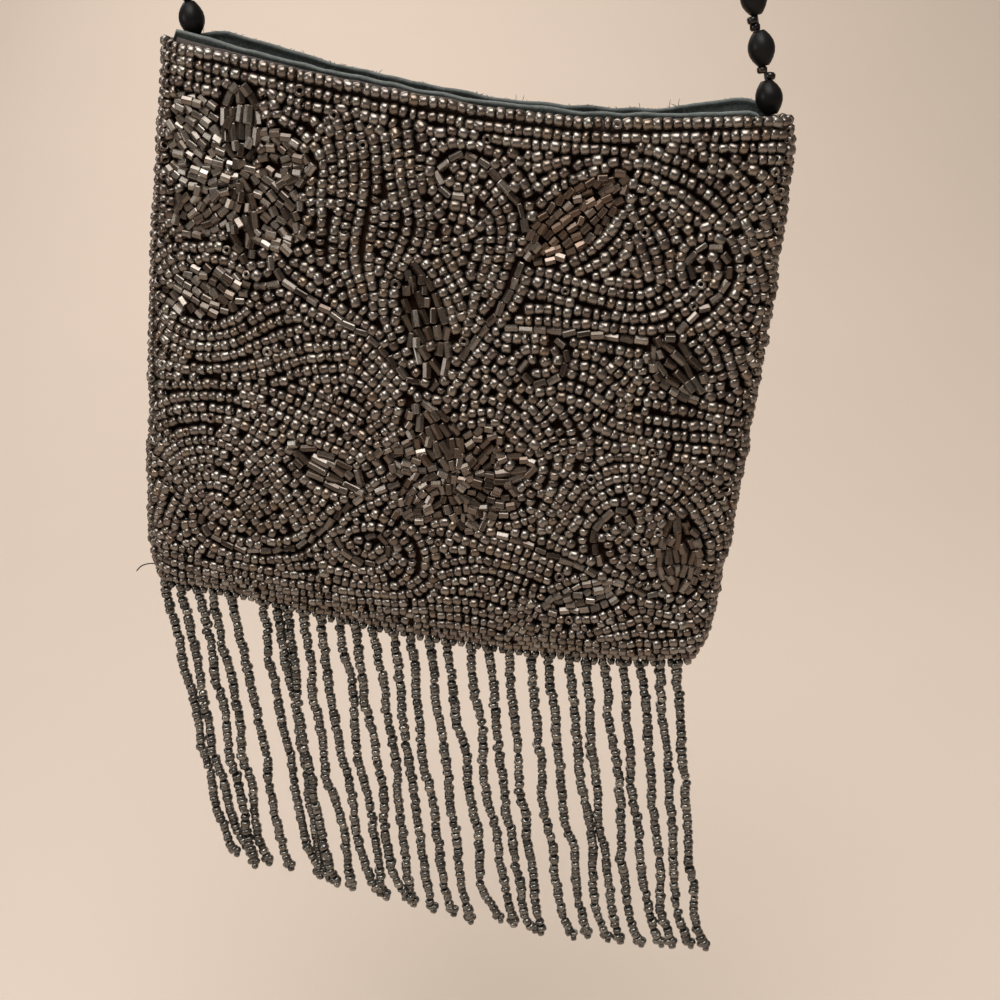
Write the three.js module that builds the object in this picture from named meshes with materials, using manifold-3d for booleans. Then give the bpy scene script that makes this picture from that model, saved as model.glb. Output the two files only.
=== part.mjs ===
// A flat evening bag of beaded cloth, hanging crooked from one peg by its strap of oval beads.
// Millimetres. +Z is up, +X runs to the right across the front, and the beaded front faces -Y.
// The origin is the point on the peg where the top of the strap rests.

import * as THREE from 'three';
import { mergeVertices } from 'three/addons/utils/BufferGeometryUtils.js';
import Module from 'manifold-3d';

const wasm = await Module();
wasm.setup();

// How the bag hangs
const TILT = THREE.MathUtils.degToRad(12.6); // its right side hangs lower than its left
const DROP = 410; // from the peg down to the middle of the bag
const SHIFT = -2; // the middle of the bag stands this far right of the peg
const GAP = 0.3; // between neighbouring pieces
const WELD = 1e-4; // points closer than this are one point

// Cross-sections of the pouch from its bottom seam up to its mouth.
// up: height above the middle of the bag; half: half of the width; front and back: how far each
// inner face stands off the seam; square: how flat that bulge is; wall: cloth with its beads.
const SECTIONS = [
  { up: -49.0, half: 49.6, front: 0.3, back: 0.3, square: 2.4, wall: 1.4 },
  { up: -48.1, half: 51.8, front: 0.9, back: 0.8, square: 2.4, wall: 2.3 },
  { up: -46.2, half: 53.4, front: 2.0, back: 1.7, square: 2.6, wall: 3.0 },
  { up: -43.0, half: 54.3, front: 3.4, back: 2.7, square: 2.8, wall: 3.0 },
  { up: -37.5, half: 54.8, front: 4.8, back: 3.8, square: 3.0, wall: 3.0 },
  { up: -26.0, half: 55.0, front: 6.4, back: 4.8, square: 3.0, wall: 3.0 },
  { up: -10.0, half: 55.0, front: 7.0, back: 5.2, square: 3.0, wall: 3.0 },
  { up: 8.0, half: 55.3, front: 6.8, back: 5.2, square: 3.0, wall: 3.0 },
  { up: 24.0, half: 55.0, front: 6.1, back: 5.0, square: 3.2, wall: 3.0 },
  { up: 38.0, half: 54.5, front: 5.3, back: 4.8, square: 3.6, wall: 3.0 },
  { up: 50.6, half: 53.7, front: 4.6, back: 4.6, square: 4.6, wall: 3.0 },
];
// How the cloth sags from side seam to side seam, as the strap draws the corners of the mouth up.
// share: of the half-width; bottom and mouth: how far those edges stand above their sections;
// front: rim of the lining above the mouth; back: its rim at the back above the one in front.
const SAGS = [
  { share: -1, bottom: 0, mouth: 1.5, front: 1.0, back: 0 },
  { share: -0.92, bottom: 0.2, mouth: 0.8, front: 1.2, back: -0.3 },
  { share: -0.83, bottom: 0.3, mouth: 0.2, front: 0.9, back: 1.7 },
  { share: -0.7, bottom: 0.2, mouth: -0.6, front: 0.7, back: 1.5 },
  { share: -0.5, bottom: -1.0, mouth: -1.9, front: 0.7, back: 1.0 },
  { share: -0.2, bottom: -2.2, mouth: -3.1, front: 0.4, back: 0.8 },
  { share: 0.1, bottom: -2.8, mouth: -4.0, front: 0.35, back: 0.7 },
  { share: 0.38, bottom: -2.6, mouth: -3.6, front: 0.5, back: 0.6 },
  { share: 0.58, bottom: -2.4, mouth: -2.6, front: 0.35, back: 0.7 },
  { share: 0.71, bottom: -2.0, mouth: -1.6, front: 0.25, back: 1.6 },
  { share: 0.83, bottom: -1.4, mouth: -0.5, front: 0.2, back: 2.2 },
  { share: 0.92, bottom: -0.6, mouth: 0.1, front: 0.2, back: 0.5 },
  { share: 1, bottom: 0, mouth: 0.5, front: 0.2, back: 0 },
];
const EDGE_ROUND = 3; // the bead wall rounds into the side seam over this width
const EDGE_LEFT = 0.35; // share of the wall that is left at the seam itself
const COLUMNS = 8; // columns of facets from the middle out to each side seam

// Lining
const LINING_WALL = 1;
const LINING_COLUMNS = 7; // columns of facets from its middle out to each of its sides
const LINING_FLOOR = 4; // row of SECTIONS where it closes

// Fringe
const HEAD_TALL = 2;
const HEAD_DEEP = 2.6;
const STRAND_RADIUS = 1;
const STRAND_LENGTH = 62.4;
const LEFT_SHORT = 2.6; // the strands grow shorter towards the left by this much
const STRAND_STEPS = 3;
const STRAND_CORNERS = 3; // curve segments in half of a strand's round section
// Strands from left to right. at: place along the bottom of the bag; belly and tail: how far the
// strand wanders right of plumb half way down and at its tip; out: how far the tip stands forward.
const STRANDS = [
  { at: -51.4, belly: 0.9, tail: 1.9, out: 0.4 },
  { at: -48.2, belly: 0.4, tail: 1.6, out: -0.6 },
  { at: -44.5, belly: 0.3, tail: 0.2, out: 0.8 },
  { at: -41.8, belly: 0.2, tail: -0.1, out: -0.4 },
  { at: -38.0, belly: 0.5, tail: 0.6, out: 0.3 },
  { at: -31.8, belly: -0.4, tail: 0.9, out: 0.0 },
  { at: -28.8, belly: -0.4, tail: -0.5, out: -0.7 },
  { at: -26.7, belly: -0.9, tail: -0.3, out: 0.9 },
  { at: -23.6, belly: -0.5, tail: 0.8, out: -0.2 },
  { at: -20.1, belly: -0.2, tail: 0.4, out: 0.5 },
  { at: -16.2, belly: -0.3, tail: -0.2, out: -0.3 },
  { at: -13.3, belly: 0.3, tail: 0.7, out: 0.6 },
  { at: -9.8, belly: 0.5, tail: -0.9, out: -0.6 },
  { at: -5.6, belly: -0.6, tail: -0.6, out: 0.2 },
  { at: -2.4, belly: -0.1, tail: -0.4, out: -0.5 },
  { at: 1.6, belly: -0.3, tail: -0.2, out: 0.4 },
  { at: 4.8, belly: 0.5, tail: 1.6, out: 0.0 },
  { at: 9.6, belly: -0.4, tail: 1.5, out: -0.4 },
  { at: 13.2, belly: -0.2, tail: 0.4, out: 0.6 },
  { at: 17.1, belly: -0.5, tail: -0.9, out: -0.2 },
  { at: 21.4, belly: -0.6, tail: 0.8, out: 0.5 },
  { at: 24.6, belly: 0.3, tail: 1.3, out: -0.6 },
  { at: 28.7, belly: 0.4, tail: 0.6, out: 0.3 },
  { at: 31.8, belly: -0.2, tail: 0.9, out: -0.1 },
  { at: 35.3, belly: 0.3, tail: 0.5, out: 0.5 },
  { at: 39.0, belly: -0.3, tail: 0.8, out: -0.4 },
  { at: 42.2, belly: 0.4, tail: 0.1, out: 0.2 },
  { at: 45.7, belly: 0.1, tail: -0.4, out: -0.3 },
  { at: 48.9, belly: 0.0, tail: -0.3, out: 0.4 },
];

// How much of each wander a strand has taken up at a part of its length.
const STRAND_COURSE = [
  { part: 0, belly: 0, tail: 0, out: 0 },
  { part: 0.25, belly: 0.6, tail: 0, out: 0.2 },
  { part: 0.5, belly: 1, tail: 0, out: 0.5 },
  { part: 0.75, belly: 0.5, tail: 0.5, out: 0.8 },
  { part: 1, belly: 0, tail: 1, out: 1 },
];

// Strap
const PEG_RADIUS = 14;
const STRAP_REACH = 49; // from the middle of the bag out to each strap end
const STRAP_SEAT = { left: 51.8, right: 50 }; // heights of the strap ends, just inside the mouth
const BEAD_PITCH = 7.8;
const BEAD_LENGTH = 5.1;
const BEAD_RADIUS = 2.1;
const BEAD_SIDES = 10;
// along: share of the bead's length from its middle; wide: share of its radius.
const BEAD_PROFILE = [
  { along: -0.5, wide: 0.44 },
  { along: -0.24, wide: 1 },
  { along: 0.24, wide: 1 },
  { along: 0.5, wide: 0.44 },
];

// Finishes
const PEWTER_BEADS = new THREE.MeshStandardMaterial({ color: '#584d43', roughness: 0.32, metalness: 0.8 });
const PLAIN_BEADS = new THREE.MeshStandardMaterial({ color: '#51473e', roughness: 0.36, metalness: 0.8 });
const FRINGE_BEADS = new THREE.MeshStandardMaterial({ color: '#47433e', roughness: 0.38, metalness: 0.7 });
const LINING_CLOTH = new THREE.MeshStandardMaterial({ color: '#3c4644', roughness: 0.85, metalness: 0 });
const BLACK_BEADS = new THREE.MeshStandardMaterial({ color: '#131314', roughness: 0.42, metalness: 0 });

const root = new THREE.Group();
const bag = new THREE.Group();
bag.position.set(SHIFT, 0, -DROP);
bag.rotation.y = TILT;
root.add(bag);
root.updateMatrixWorld(true);

// Shares of the half-width, from seam to seam, set closer towards the seams.
const ACROSS = Array.from({ length: 2 * COLUMNS + 1 }, (_, column) => {
  return Math.sin((Math.PI / 2) * (column / COLUMNS - 1));
});

// A closed skin over a row of rings that all have the same even number of points.
function skin(rings) {
  const size = rings[0].length;
  const positions = rings.flat().flatMap((point) => point.toArray());
  const faces = [];
  for (let r = 0; r + 1 < rings.length; r++) {
    for (let i = 0; i < size; i++) {
      const a = r * size + i;
      const b = r * size + ((i + 1) % size);
      faces.push(a, b, b + size, a, b + size, a + size);
    }
  }
  const last = (rings.length - 1) * size;
  for (let i = 0; i + 1 < size / 2; i++) {
    const corners = [i, i + 1, size - 2 - i, size - 1 - i];
    const [a, b, c, d] = corners;
    faces.push(c, b, a, d, c, a);
    const [e, f, g, h] = corners.map((corner) => corner + last);
    faces.push(e, f, g, e, g, h);
  }
  const geometry = new THREE.BufferGeometry();
  geometry.setAttribute('position', new THREE.Float32BufferAttribute(positions, 3));
  geometry.setIndex(signedVolume(positions, faces) < 0 ? faces.reverse() : faces);
  geometry.computeVertexNormals();
  return geometry;
}

function signedVolume(positions, faces) {
  const corner = (i) => new THREE.Vector3().fromArray(positions, 3 * i);
  let volume = 0;
  for (let i = 0; i < faces.length; i += 3) {
    volume += corner(faces[i]).dot(corner(faces[i + 1]).cross(corner(faces[i + 2]))) / 6;
  }
  return volume;
}

function solidOf(geometry) {
  const bare = geometry.clone();
  bare.deleteAttribute('normal');
  bare.deleteAttribute('uv');
  const merged = mergeVertices(bare, WELD);
  const vertProperties = new Float32Array(merged.attributes.position.array);
  const triVerts = new Uint32Array(merged.index.array);
  return new wasm.Manifold(new wasm.Mesh({ numProp: 3, vertProperties, triVerts }));
}

function geometryOf(solid) {
  const { vertProperties, triVerts } = solid.getMesh();
  const geometry = new THREE.BufferGeometry();
  geometry.setAttribute('position', new THREE.BufferAttribute(vertProperties, 3));
  geometry.setIndex(new THREE.BufferAttribute(triVerts, 1));
  geometry.computeVertexNormals();
  return geometry;
}

function addPiece(group, name, geometry, material) {
  const mesh = new THREE.Mesh(geometry, material);
  mesh.name = name;
  group.add(mesh);
}

// How far a panel's inner face stands off the seam, at a share of the half-width.
function standOff(row, side, share) {
  const bulge = (1 - Math.abs(share) ** row.square) ** (1 / row.square);
  return GAP / 2 + row[side] * bulge;
}

// The row of a table at a value of one of its columns, worked out between two of its rows.
function rowAt(table, column, value) {
  const next = Math.max(1, table.findIndex((row) => row[column] >= value));
  const [low, high] = [table[next - 1], table[next]];
  const part = (value - low[column]) / (high[column] - low[column]);
  const between = (key) => THREE.MathUtils.lerp(low[key], high[key], part);
  return Object.fromEntries(Object.keys(low).map((key) => [key, between(key)]));
}

function sagged(up, share) {
  const { bottom, mouth } = rowAt(SAGS, 'share', share);
  return up + THREE.MathUtils.mapLinear(up, SECTIONS[0].up, SECTIONS.at(-1).up, bottom, mouth);
}

// Front and back panels: cloth with its layer of beads
function panelRing(row, side, facing) {
  const outer = [];
  const inner = [];
  for (const share of ACROSS) {
    const over = Math.max(0, (Math.abs(share) - 1) * row.half + EDGE_ROUND) / EDGE_ROUND;
    const wall = row.wall * Math.max(EDGE_LEFT, Math.sqrt(1 - over * over));
    const off = standOff(row, side, share);
    const up = sagged(row.up, share);
    outer.push(new THREE.Vector3(share * row.half, facing * (off + wall), up));
    inner.unshift(new THREE.Vector3(share * row.half, facing * off, up));
  }
  return [...outer, ...inner];
}

function panel(side, facing) {
  return skin(SECTIONS.map((row) => panelRing(row, side, facing)));
}

// Lining: an open pouch of thin cloth whose folded rim stands above the beads
function rimRise(side, share) {
  const { front, back } = rowAt(SAGS, 'share', share);
  return side === 'front' ? front : front + back;
}

function liningRing(row, inset, rise) {
  const shares = ACROSS.slice(COLUMNS - LINING_COLUMNS, COLUMNS + LINING_COLUMNS + 1);
  const reach = shares.at(-1) * row.half - inset;
  const wall = (side, facing) =>
    shares.map((share) => {
      const u = THREE.MathUtils.clamp(share * row.half, -reach, reach);
      const y = facing * (standOff(row, side, share) - GAP - inset);
      return new THREE.Vector3(u, y, sagged(row.up, share) + rise(side, share));
    });
  return [...wall('front', -1), ...wall('back', 1).reverse()];
}

function lining() {
  const rows = SECTIONS.slice(LINING_FLOOR);
  const mouth = rows.at(-1);
  const floor = rowAt(SECTIONS, 'up', rows[0].up + LINING_WALL);
  const sides = rows.slice(0, -1);
  const inner = [floor, ...sides.slice(1)].reverse();
  const level = () => 0;
  return skin([
    ...sides.map((row) => liningRing(row, 0, level)),
    liningRing(mouth, 0, rimRise),
    liningRing(mouth, LINING_WALL, rimRise),
    ...inner.map((row) => liningRing(row, LINING_WALL, level)),
  ]);
}

// Fringe: strands that hang plumb from a head along the bottom seam
function bottomSeam(u) {
  const half = Math.max(SECTIONS[0].half, Math.abs(u));
  const corners = ACROSS.map((share) => ({ share, up: sagged(rowAt(SECTIONS, 'half', half).up, share) }));
  return rowAt(corners, 'share', u / half).up;
}

function headRing(u) {
  const top = bottomSeam(u) - GAP;
  const depths = [-HEAD_DEEP / 2, HEAD_DEEP / 2];
  const upper = depths.map((y) => bag.localToWorld(new THREE.Vector3(u, y, top)));
  const lower = depths.map((y) => bag.localToWorld(new THREE.Vector3(u, y, top - HEAD_TALL)));
  return [...upper, ...lower.reverse()];
}

function strand({ at, belly, tail, out }) {
  const top = bag.localToWorld(new THREE.Vector3(at, 0, bottomSeam(at) - GAP - HEAD_TALL / 2));
  const length = STRAND_LENGTH - LEFT_SHORT * Math.max(0, at / STRANDS[0].at);
  const points = STRAND_COURSE.map((course) => {
    const right = course.belly * belly + course.tail * tail;
    return new THREE.Vector3(right, -course.out * out, -course.part * length).add(top);
  });
  const section = new THREE.Shape().absarc(0, 0, STRAND_RADIUS, 0, 2 * Math.PI);
  return new THREE.ExtrudeGeometry(section, {
    extrudePath: new THREE.CatmullRomCurve3(points),
    steps: STRAND_STEPS,
    curveSegments: STRAND_CORNERS,
    bevelEnabled: false,
  });
}

function fringe() {
  const first = STRANDS[0].at - STRAND_RADIUS;
  const last = STRANDS.at(-1).at + STRAND_RADIUS;
  const corner = SECTIONS[0].half;
  const places = [first, -corner, ...STRANDS.map(({ at }) => at), corner, last].sort((a, b) => a - b);
  const head = solidOf(skin(places.map(headRing)));
  return geometryOf(STRANDS.reduce((fused, row) => fused.add(solidOf(strand(row))), head));
}

// Strap: a string of oval beads that runs straight up from each corner and over the peg
function strapPath() {
  const radius = PEG_RADIUS + BEAD_RADIUS;
  const centre = new THREE.Vector2(0, -PEG_RADIUS);
  const path = new THREE.Path();
  const [left, right] = ['left', 'right'].map((name) => {
    const side = name === 'left' ? -1 : 1;
    const end = bag.localToWorld(new THREE.Vector3(side * STRAP_REACH, 0, STRAP_SEAT[name]));
    const away = new THREE.Vector2(end.x, end.z).sub(centre);
    const angle = Math.atan2(away.y, away.x) + side * Math.acos(radius / away.length());
    return { x: end.x, z: end.z, angle };
  });
  path.moveTo(left.x, left.z);
  path.lineTo(centre.x + radius * Math.cos(left.angle), centre.y + radius * Math.sin(left.angle));
  path.absarc(centre.x, centre.y, radius, left.angle, right.angle, true);
  path.lineTo(right.x, right.z);
  return path;
}

function strapRing(centre, tangent, radius) {
  return Array.from({ length: BEAD_SIDES }, (_, i) => {
    const turn = (2 * Math.PI * i) / BEAD_SIDES;
    const side = radius * Math.cos(turn);
    const x = centre.x - tangent.y * side;
    const z = centre.y + tangent.x * side;
    return new THREE.Vector3(x, radius * Math.sin(turn), z);
  });
}

function beadRings(path, share) {
  const centre = path.getPoint(share);
  const tangent = path.getTangent(share);
  return BEAD_PROFILE.map(({ along, wide }) => {
    const place = centre.clone().addScaledVector(tangent, along * BEAD_LENGTH);
    return strapRing(place, tangent, wide * BEAD_RADIUS);
  });
}

// The two halves of the string, which meet face to face in the thread nearest the peg.
function strapHalves() {
  const path = strapPath();
  const length = path.getLength();
  const count = Math.round((length - BEAD_LENGTH) / BEAD_PITCH) + 1;
  const pitch = (length - BEAD_LENGTH) / (count - 1);
  const shareOf = (bead) => (BEAD_LENGTH / 2 + bead * pitch) / length;
  const shares = Array.from({ length: count }, (_, bead) => shareOf(bead));
  const highest = shares.map((share) => path.getPoint(share).y);
  const split = highest.indexOf(Math.max(...highest)) + 1;
  const thread = BEAD_PROFILE[0].wide * BEAD_RADIUS;
  const cut = (side) => {
    const share = shareOf(split - 0.5) + (side * GAP) / 2 / length;
    return strapRing(path.getPoint(share), path.getTangent(share), thread);
  };
  const left = shares.slice(0, split).flatMap((share) => beadRings(path, share));
  const right = shares.slice(split).flatMap((share) => beadRings(path, share));
  return [skin([...left, cut(-1)]), skin([cut(1), ...right])];
}

const [strapLeft, strapRight] = strapHalves();
addPiece(bag, 'front_panel', panel('front', -1), PEWTER_BEADS);
addPiece(bag, 'back_panel', panel('back', 1), PLAIN_BEADS);
addPiece(bag, 'lining', lining(), LINING_CLOTH);
addPiece(root, 'fringe', fringe(), FRINGE_BEADS);
addPiece(root, 'strap_left', strapLeft, BLACK_BEADS);
addPiece(root, 'strap_right', strapRight, BLACK_BEADS);

export default root;
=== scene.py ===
"""Beaded evening bag: cloth, sewn beads, fringe and strap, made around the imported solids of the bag."""
import math
from collections import defaultdict, deque
from functools import lru_cache
from typing import NamedTuple

import bpy
import numpy as np
from bpy.props import FloatProperty, FloatVectorProperty, PointerProperty
from mathutils import Matrix, Vector
from mathutils.bvhtree import BVHTree
from mathutils.kdtree import KDTree


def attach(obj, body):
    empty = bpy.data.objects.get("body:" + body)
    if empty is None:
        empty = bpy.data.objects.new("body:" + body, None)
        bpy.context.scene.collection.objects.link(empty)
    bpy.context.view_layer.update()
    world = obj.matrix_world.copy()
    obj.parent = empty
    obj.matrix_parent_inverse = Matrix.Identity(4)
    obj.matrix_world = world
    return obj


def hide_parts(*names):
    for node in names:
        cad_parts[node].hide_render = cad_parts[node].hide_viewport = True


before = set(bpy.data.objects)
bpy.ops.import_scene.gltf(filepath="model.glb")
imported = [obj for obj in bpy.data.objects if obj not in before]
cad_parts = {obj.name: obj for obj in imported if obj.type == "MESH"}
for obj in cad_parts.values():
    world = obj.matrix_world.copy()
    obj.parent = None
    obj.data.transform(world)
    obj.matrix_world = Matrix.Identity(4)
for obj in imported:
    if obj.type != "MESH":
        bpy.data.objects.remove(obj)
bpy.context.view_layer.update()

bl_info = {
    "name": "Beaded Evening Bag",
    "version": (1, 0, 0),
    "blender": (4, 5, 0),
    "location": "3D View > Sidebar > Evening Bag",
    "description": "Dresses a small evening bag in sewn seed beads, with its lining, fringe and strap",
    "category": "Add Mesh",
}

BODY = "root"
MM = 0.001

# The bag hangs tilted about its middle. Cloth places are millimetres across and up from there,
# and depths are millimetres out from the plane between the two panels.
BAG_MIDDLE = (-2.0, -410.0)
TILT = math.radians(12.6)
FRONT = -1
BACK = 1
TO_FRONT = (0.0, -1.0, 0.0)
GRID_END = 1.001  # a place on a grid stays this far short of the grid's count

# Starts of the random draws, one for each operator
DRAWS = {"front": 11, "back": 12, "stitches": 13, "lining": 14, "fringe": 15, "strap": 16}

# How beads lie on their thread: spread of their tipping, and most turn about the thread, in radians
ROCKS = {
    "seed": (0.2, 0.4),
    "cut": (0.16, math.pi),
    "stitch": (0.1, 0.4),
    "strand": (0.22, 0.4),
    "seam": (0.1, 0.4),
    "oval": (0.04, math.pi),
    "small": (0.12, 0.5),
}

# Sides of the beads
SEED_SIDES = 9
FRINGE_SIDES = 8
PLAIN_SIDES = 7
CUT_SIDES = 6
OVAL_SIDES = 16
CUT_BEVEL = 0.11  # turn from the corner of a cut bead to each edge of its bevel, in radians

# Half sections of the beads: place along the thread and radius, as shares of length and radius
SEED_SECTION = ((-0.38, 0.36), (-0.5, 0.76), (-0.27, 1.0), (0.27, 1.0), (0.5, 0.76), (0.38, 0.36))
PLAIN_SECTION = ((-0.46, 0.36), (-0.26, 1.0), (0.26, 1.0), (0.46, 0.36))
CUT_SECTION = ((-0.5, 0.4), (-0.5, 0.88), (-0.44, 1.0), (0.44, 1.0), (0.5, 0.88), (0.5, 0.4))
OVAL_SECTION = (
    (-0.45, 0.2), (-0.5, 0.38), (-0.43, 0.55), (-0.31, 0.77), (-0.17, 0.94), (-0.04, 1.0),
    (0.04, 1.0), (0.17, 0.94), (0.31, 0.77), (0.43, 0.55), (0.5, 0.38), (0.45, 0.2),
)


class Leaf(NamedTuple):
    """A leaf or petal filled with cut beads: cloth places, width, turn of its rows, bead and tone."""

    base: tuple
    tip: tuple
    width: float
    turn: float
    bead: str
    tone: float
    brown: float


# Leaves and petals, flower by flower
LEAVES = (
    # base, tip, width, turn, bead, tone, brown
    # the large flower at the upper left
    Leaf((-37.5, 33.0), (-38.5, 45.5), 7.5, 0, "bugle", 0.1, 0.2),
    Leaf((-38.0, 32.0), (-51.0, 41.5), 11.0, 0, "cut", 0.6, 0.3),
    Leaf((-37.5, 30.5), (-52.5, 32.5), 9.5, 0, "cut", 0.55, 0.2),
    Leaf((-38.5, 31.0), (-48.5, 20.0), 11.5, 0, "cut", 0.45, 0.5),
    Leaf((-38.5, 30.0), (-35.5, 17.5), 6.5, 0, "bugle", 0.15, 0.3),
    Leaf((-38.0, 31.0), (-26.5, 21.0), 11.5, 0, "cut", 0.5, 0.4),
    Leaf((-38.0, 31.5), (-26.0, 33.5), 11.0, 0, "cut", 0.35, 0.5),
    # the single leaves
    Leaf((-34.5, 12.0), (-51.5, 8.0), 9.5, -40, "cut", 0.35, 0.4),
    Leaf((12.5, 23.0), (27.0, 38.0), 9.5, 0, "cut", 0.3, 1.2),
    Leaf((36.0, 12.0), (44.5, 4.0), 7.0, 0, "bugle", 0.1, 0.3),
    Leaf((-0.5, 1.0), (-6.5, 19.0), 8.0, 0, "bugle", 0.1, 0.4),
    Leaf((-12.0, -21.5), (-26.0, -15.5), 6.5, 0, "long", 0.12, 0.4),
    Leaf((46.2, -33.5), (44.2, -18.5), 7.5, 0, "bugle", 0.12, 0.5),
    Leaf((37.0, -33.5), (22.5, -40.0), 6.5, 0, "cut", 0.5, 0.3),
    # the flower in the middle
    Leaf((3.5, -15.5), (-3.0, -4.5), 9.0, 0, "bugle", 0.15, 0.6),
    Leaf((3.5, -16.5), (11.0, -7.0), 8.5, 0, "cut", 0.35, 0.6),
    Leaf((8.0, -14.8), (18.0, -12.6), 6.5, 0, "bugle", 0.1, 0.6),
    Leaf((3.5, -16.0), (16.0, -20.0), 8.5, 0, "cut", 0.15, 0.6),
    Leaf((3.5, -16.0), (9.5, -26.5), 8.5, 0, "cut", 0.25, 0.5),
    Leaf((4.0, -16.0), (-4.5, -25.5), 10.0, 0, "cut", 0.35, 0.5),
    Leaf((4.0, -16.0), (-8.5, -14.0), 9.5, 0, "cut", 0.3, 0.5),
)

# Stems of cut beads end to end, each a list of cloth places that a smooth curve runs through
STEMS = (
    # from the large flower down to the foot of the tall leaf
    ((-35.5, 24), (-33, 20.5), (-31.5, 17), (-28, 13.5), (-23, 11), (-18, 8.5), (-13, 6), (-7, 1), (-3, -1)),
    # a short twig to the almond leaf
    ((-34, 12.2), (-31, 13), (-28.5, 13.3)),
    # upper scroll, and its stem down to the tall leaf
    ((1, 31.5), (-2.5, 32), (-3.8, 35), (-1, 38), (3.5, 37.3), (6.5, 34.7), (9.2, 32), (11.2, 29), (11.8, 24),
     (10.5, 17.5), (8, 12.5), (5, 7.5), (2, 3.5)),
    # the long twig to the right, up into the right scroll
    ((7.6, 11.3), (12.5, 11), (18, 11.5), (25.5, 11.7), (33.5, 11.8), (38, 13), (41, 16.4), (44.8, 20.6),
     (46, 24.5), (44.2, 28), (40.8, 28.2), (39.2, 25.6), (40.4, 23)),
    # the small scroll under it
    ((18.8, 10.2), (21, 8), (20.3, 3.9), (16.2, 2.2), (13.8, 4.2), (15.2, 6.4)),
    # from the tall leaf to the flower in the middle
    ((-0.5, 0.5), (-2, -3), (-2.6, -5.5)),
    # lower left scroll, and its stem to the flower in the middle
    ((-40.4, -29.6), (-42.4, -32), (-41.2, -34.8), (-37, -36.8), (-31, -37), (-24, -34.8), (-19.5, -31),
     (-16, -26.6), (-11.5, -22.6), (-7, -20), (-3.5, -19)),
    # the small scroll beside it
    ((-18, -29.8), (-16.3, -32), (-14, -35), (-9.5, -36), (-6.6, -33), (-8.4, -30.2), (-11, -30.8)),
    # from the flower in the middle to the lower right leaves
    ((8, -25), (18, -27.4), (26, -30), (32, -31.6), (38.5, -34), (44.5, -34.6)),
    # lower right scroll
    ((35, -23.4), (36.4, -21.2), (34, -18.8), (31.2, -20.6), (30, -24.3), (31, -27.5), (32.8, -30.6)),
)

# Lines that the plain rows of seed beads follow between the motifs
FLOWS = (
    ((-46, -30.5), (-44, -26.7), (-40, -24.7), (-36, -26), (-32.4, -30.4), (-29, -33.3)),
    ((-50.2, -29.3), (-48.2, -24), (-44.2, -21), (-39.5, -20.3), (-34.8, -22.6), (-30.5, -27.3),
     (-27, -31.6)),
    ((-52.6, -25), (-49.8, -20), (-45, -16.8), (-39.7, -16), (-35, -17.6), (-30.2, -22),
     (-26, -26.6), (-23, -31)),
    ((-7, -25.8), (-2.9, -28), (-0.3, -31.7), (-0.2, -36.5), (-2.4, -41)),
    ((-54, -13), (-47, -9.5), (-38, -8), (-29, -9.5), (-21, -13)),
    ((-54, 4), (-46, 0.5), (-38, 1.5), (-30, 6.5), (-25, 8.5)),
    ((-54, -4), (-45, -4), (-35, -2), (-24, 3), (-16, 4.5)),
    ((-20, 42), (-18, 32), (-19, 20), (-16, 12)),
    ((-10, 42), (-8, 33), (-6, 26), (-9, 17)),
    ((21.7, 7.3), (26, 7.3), (29.5, 5.1), (33, 2.5), (37.4, 2.3), (41.8, 1.8), (46.2, 1.2)),
    ((20.3, 1.1), (24.7, 0.6), (28.2, -1.2), (31.6, -2.4), (36, -2.9), (41, -3.1), (45.8, -3)),
    ((20.7, -1.7), (23.2, -4.7), (24.3, -8.5), (23.7, -12.6), (21.9, -15.8)),
    ((9, 0), (16.5, -4), (21, -11), (20.5, -20), (16, -24)),
    ((26.8, -19), (29.6, -15.2), (33.7, -12.9), (38.6, -12.8), (43.2, -14.5), (47, -18), (50.5, -23)),
    ((14, 43), (24, 43.5), (36, 41), (45, 36), (51, 26)),
    ((16, 20), (24, 18.5), (32, 18), (37, 21)),
    ((28, 33), (33, 28), (35.5, 22)),
    ((-46, -42), (-30, -43.5), (-10, -43), (10, -41), (20, -44)),
    ((4, -35), (10, -33), (16, -33.5), (24, -36)),
)


class Cut(NamedTuple):
    """A kind of cut bead: length and width in millimetres, and how far each one swings off its line."""

    length: float
    width: float
    loose: float


CUTS = {
    "cut": Cut(1.75, 1.45, 0.22),
    "stem": Cut(2.3, 1.4, 0.06),
    "bugle": Cut(2.8, 1.5, 0.09),
    "long": Cut(3.4, 1.5, 0.09),
}

# Strands of the fringe: place across, wander at half length, at the tip, and towards the front
STRANDS = (
    (-51.4, 0.9, 1.9, 0.4), (-48.2, 0.4, 1.6, -0.6), (-44.5, 0.3, 0.2, 0.8), (-41.8, 0.2, -0.1, -0.4),
    (-38.0, 0.5, 0.6, 0.3), (-31.8, -0.4, 0.9, 0.0), (-28.8, -0.4, -0.5, -0.7), (-26.7, -0.9, -0.3, 0.9),
    (-23.6, -0.5, 0.8, -0.2), (-20.1, -0.2, 0.4, 0.5), (-16.2, -0.3, -0.2, -0.3), (-13.3, 0.3, 0.7, 0.6),
    (-9.8, 0.5, -0.9, -0.6), (-5.6, -0.6, -0.6, 0.2), (-2.4, -0.1, -0.4, -0.5), (1.6, -0.3, -0.2, 0.4),
    (4.8, 0.5, 1.6, 0.0), (9.6, -0.4, 1.5, -0.4), (13.2, -0.2, 0.4, 0.6), (17.1, -0.5, -0.9, -0.2),
    (21.4, -0.6, 0.8, 0.5), (24.6, 0.3, 1.3, -0.6), (28.7, 0.4, 0.6, 0.3), (31.8, -0.2, 0.9, -0.1),
    (35.3, 0.3, 0.5, 0.5), (39.0, -0.3, 0.8, -0.4), (42.2, 0.4, 0.1, 0.2), (45.7, 0.1, -0.4, -0.3),
    (48.9, 0.0, -0.3, 0.4),
)
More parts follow.
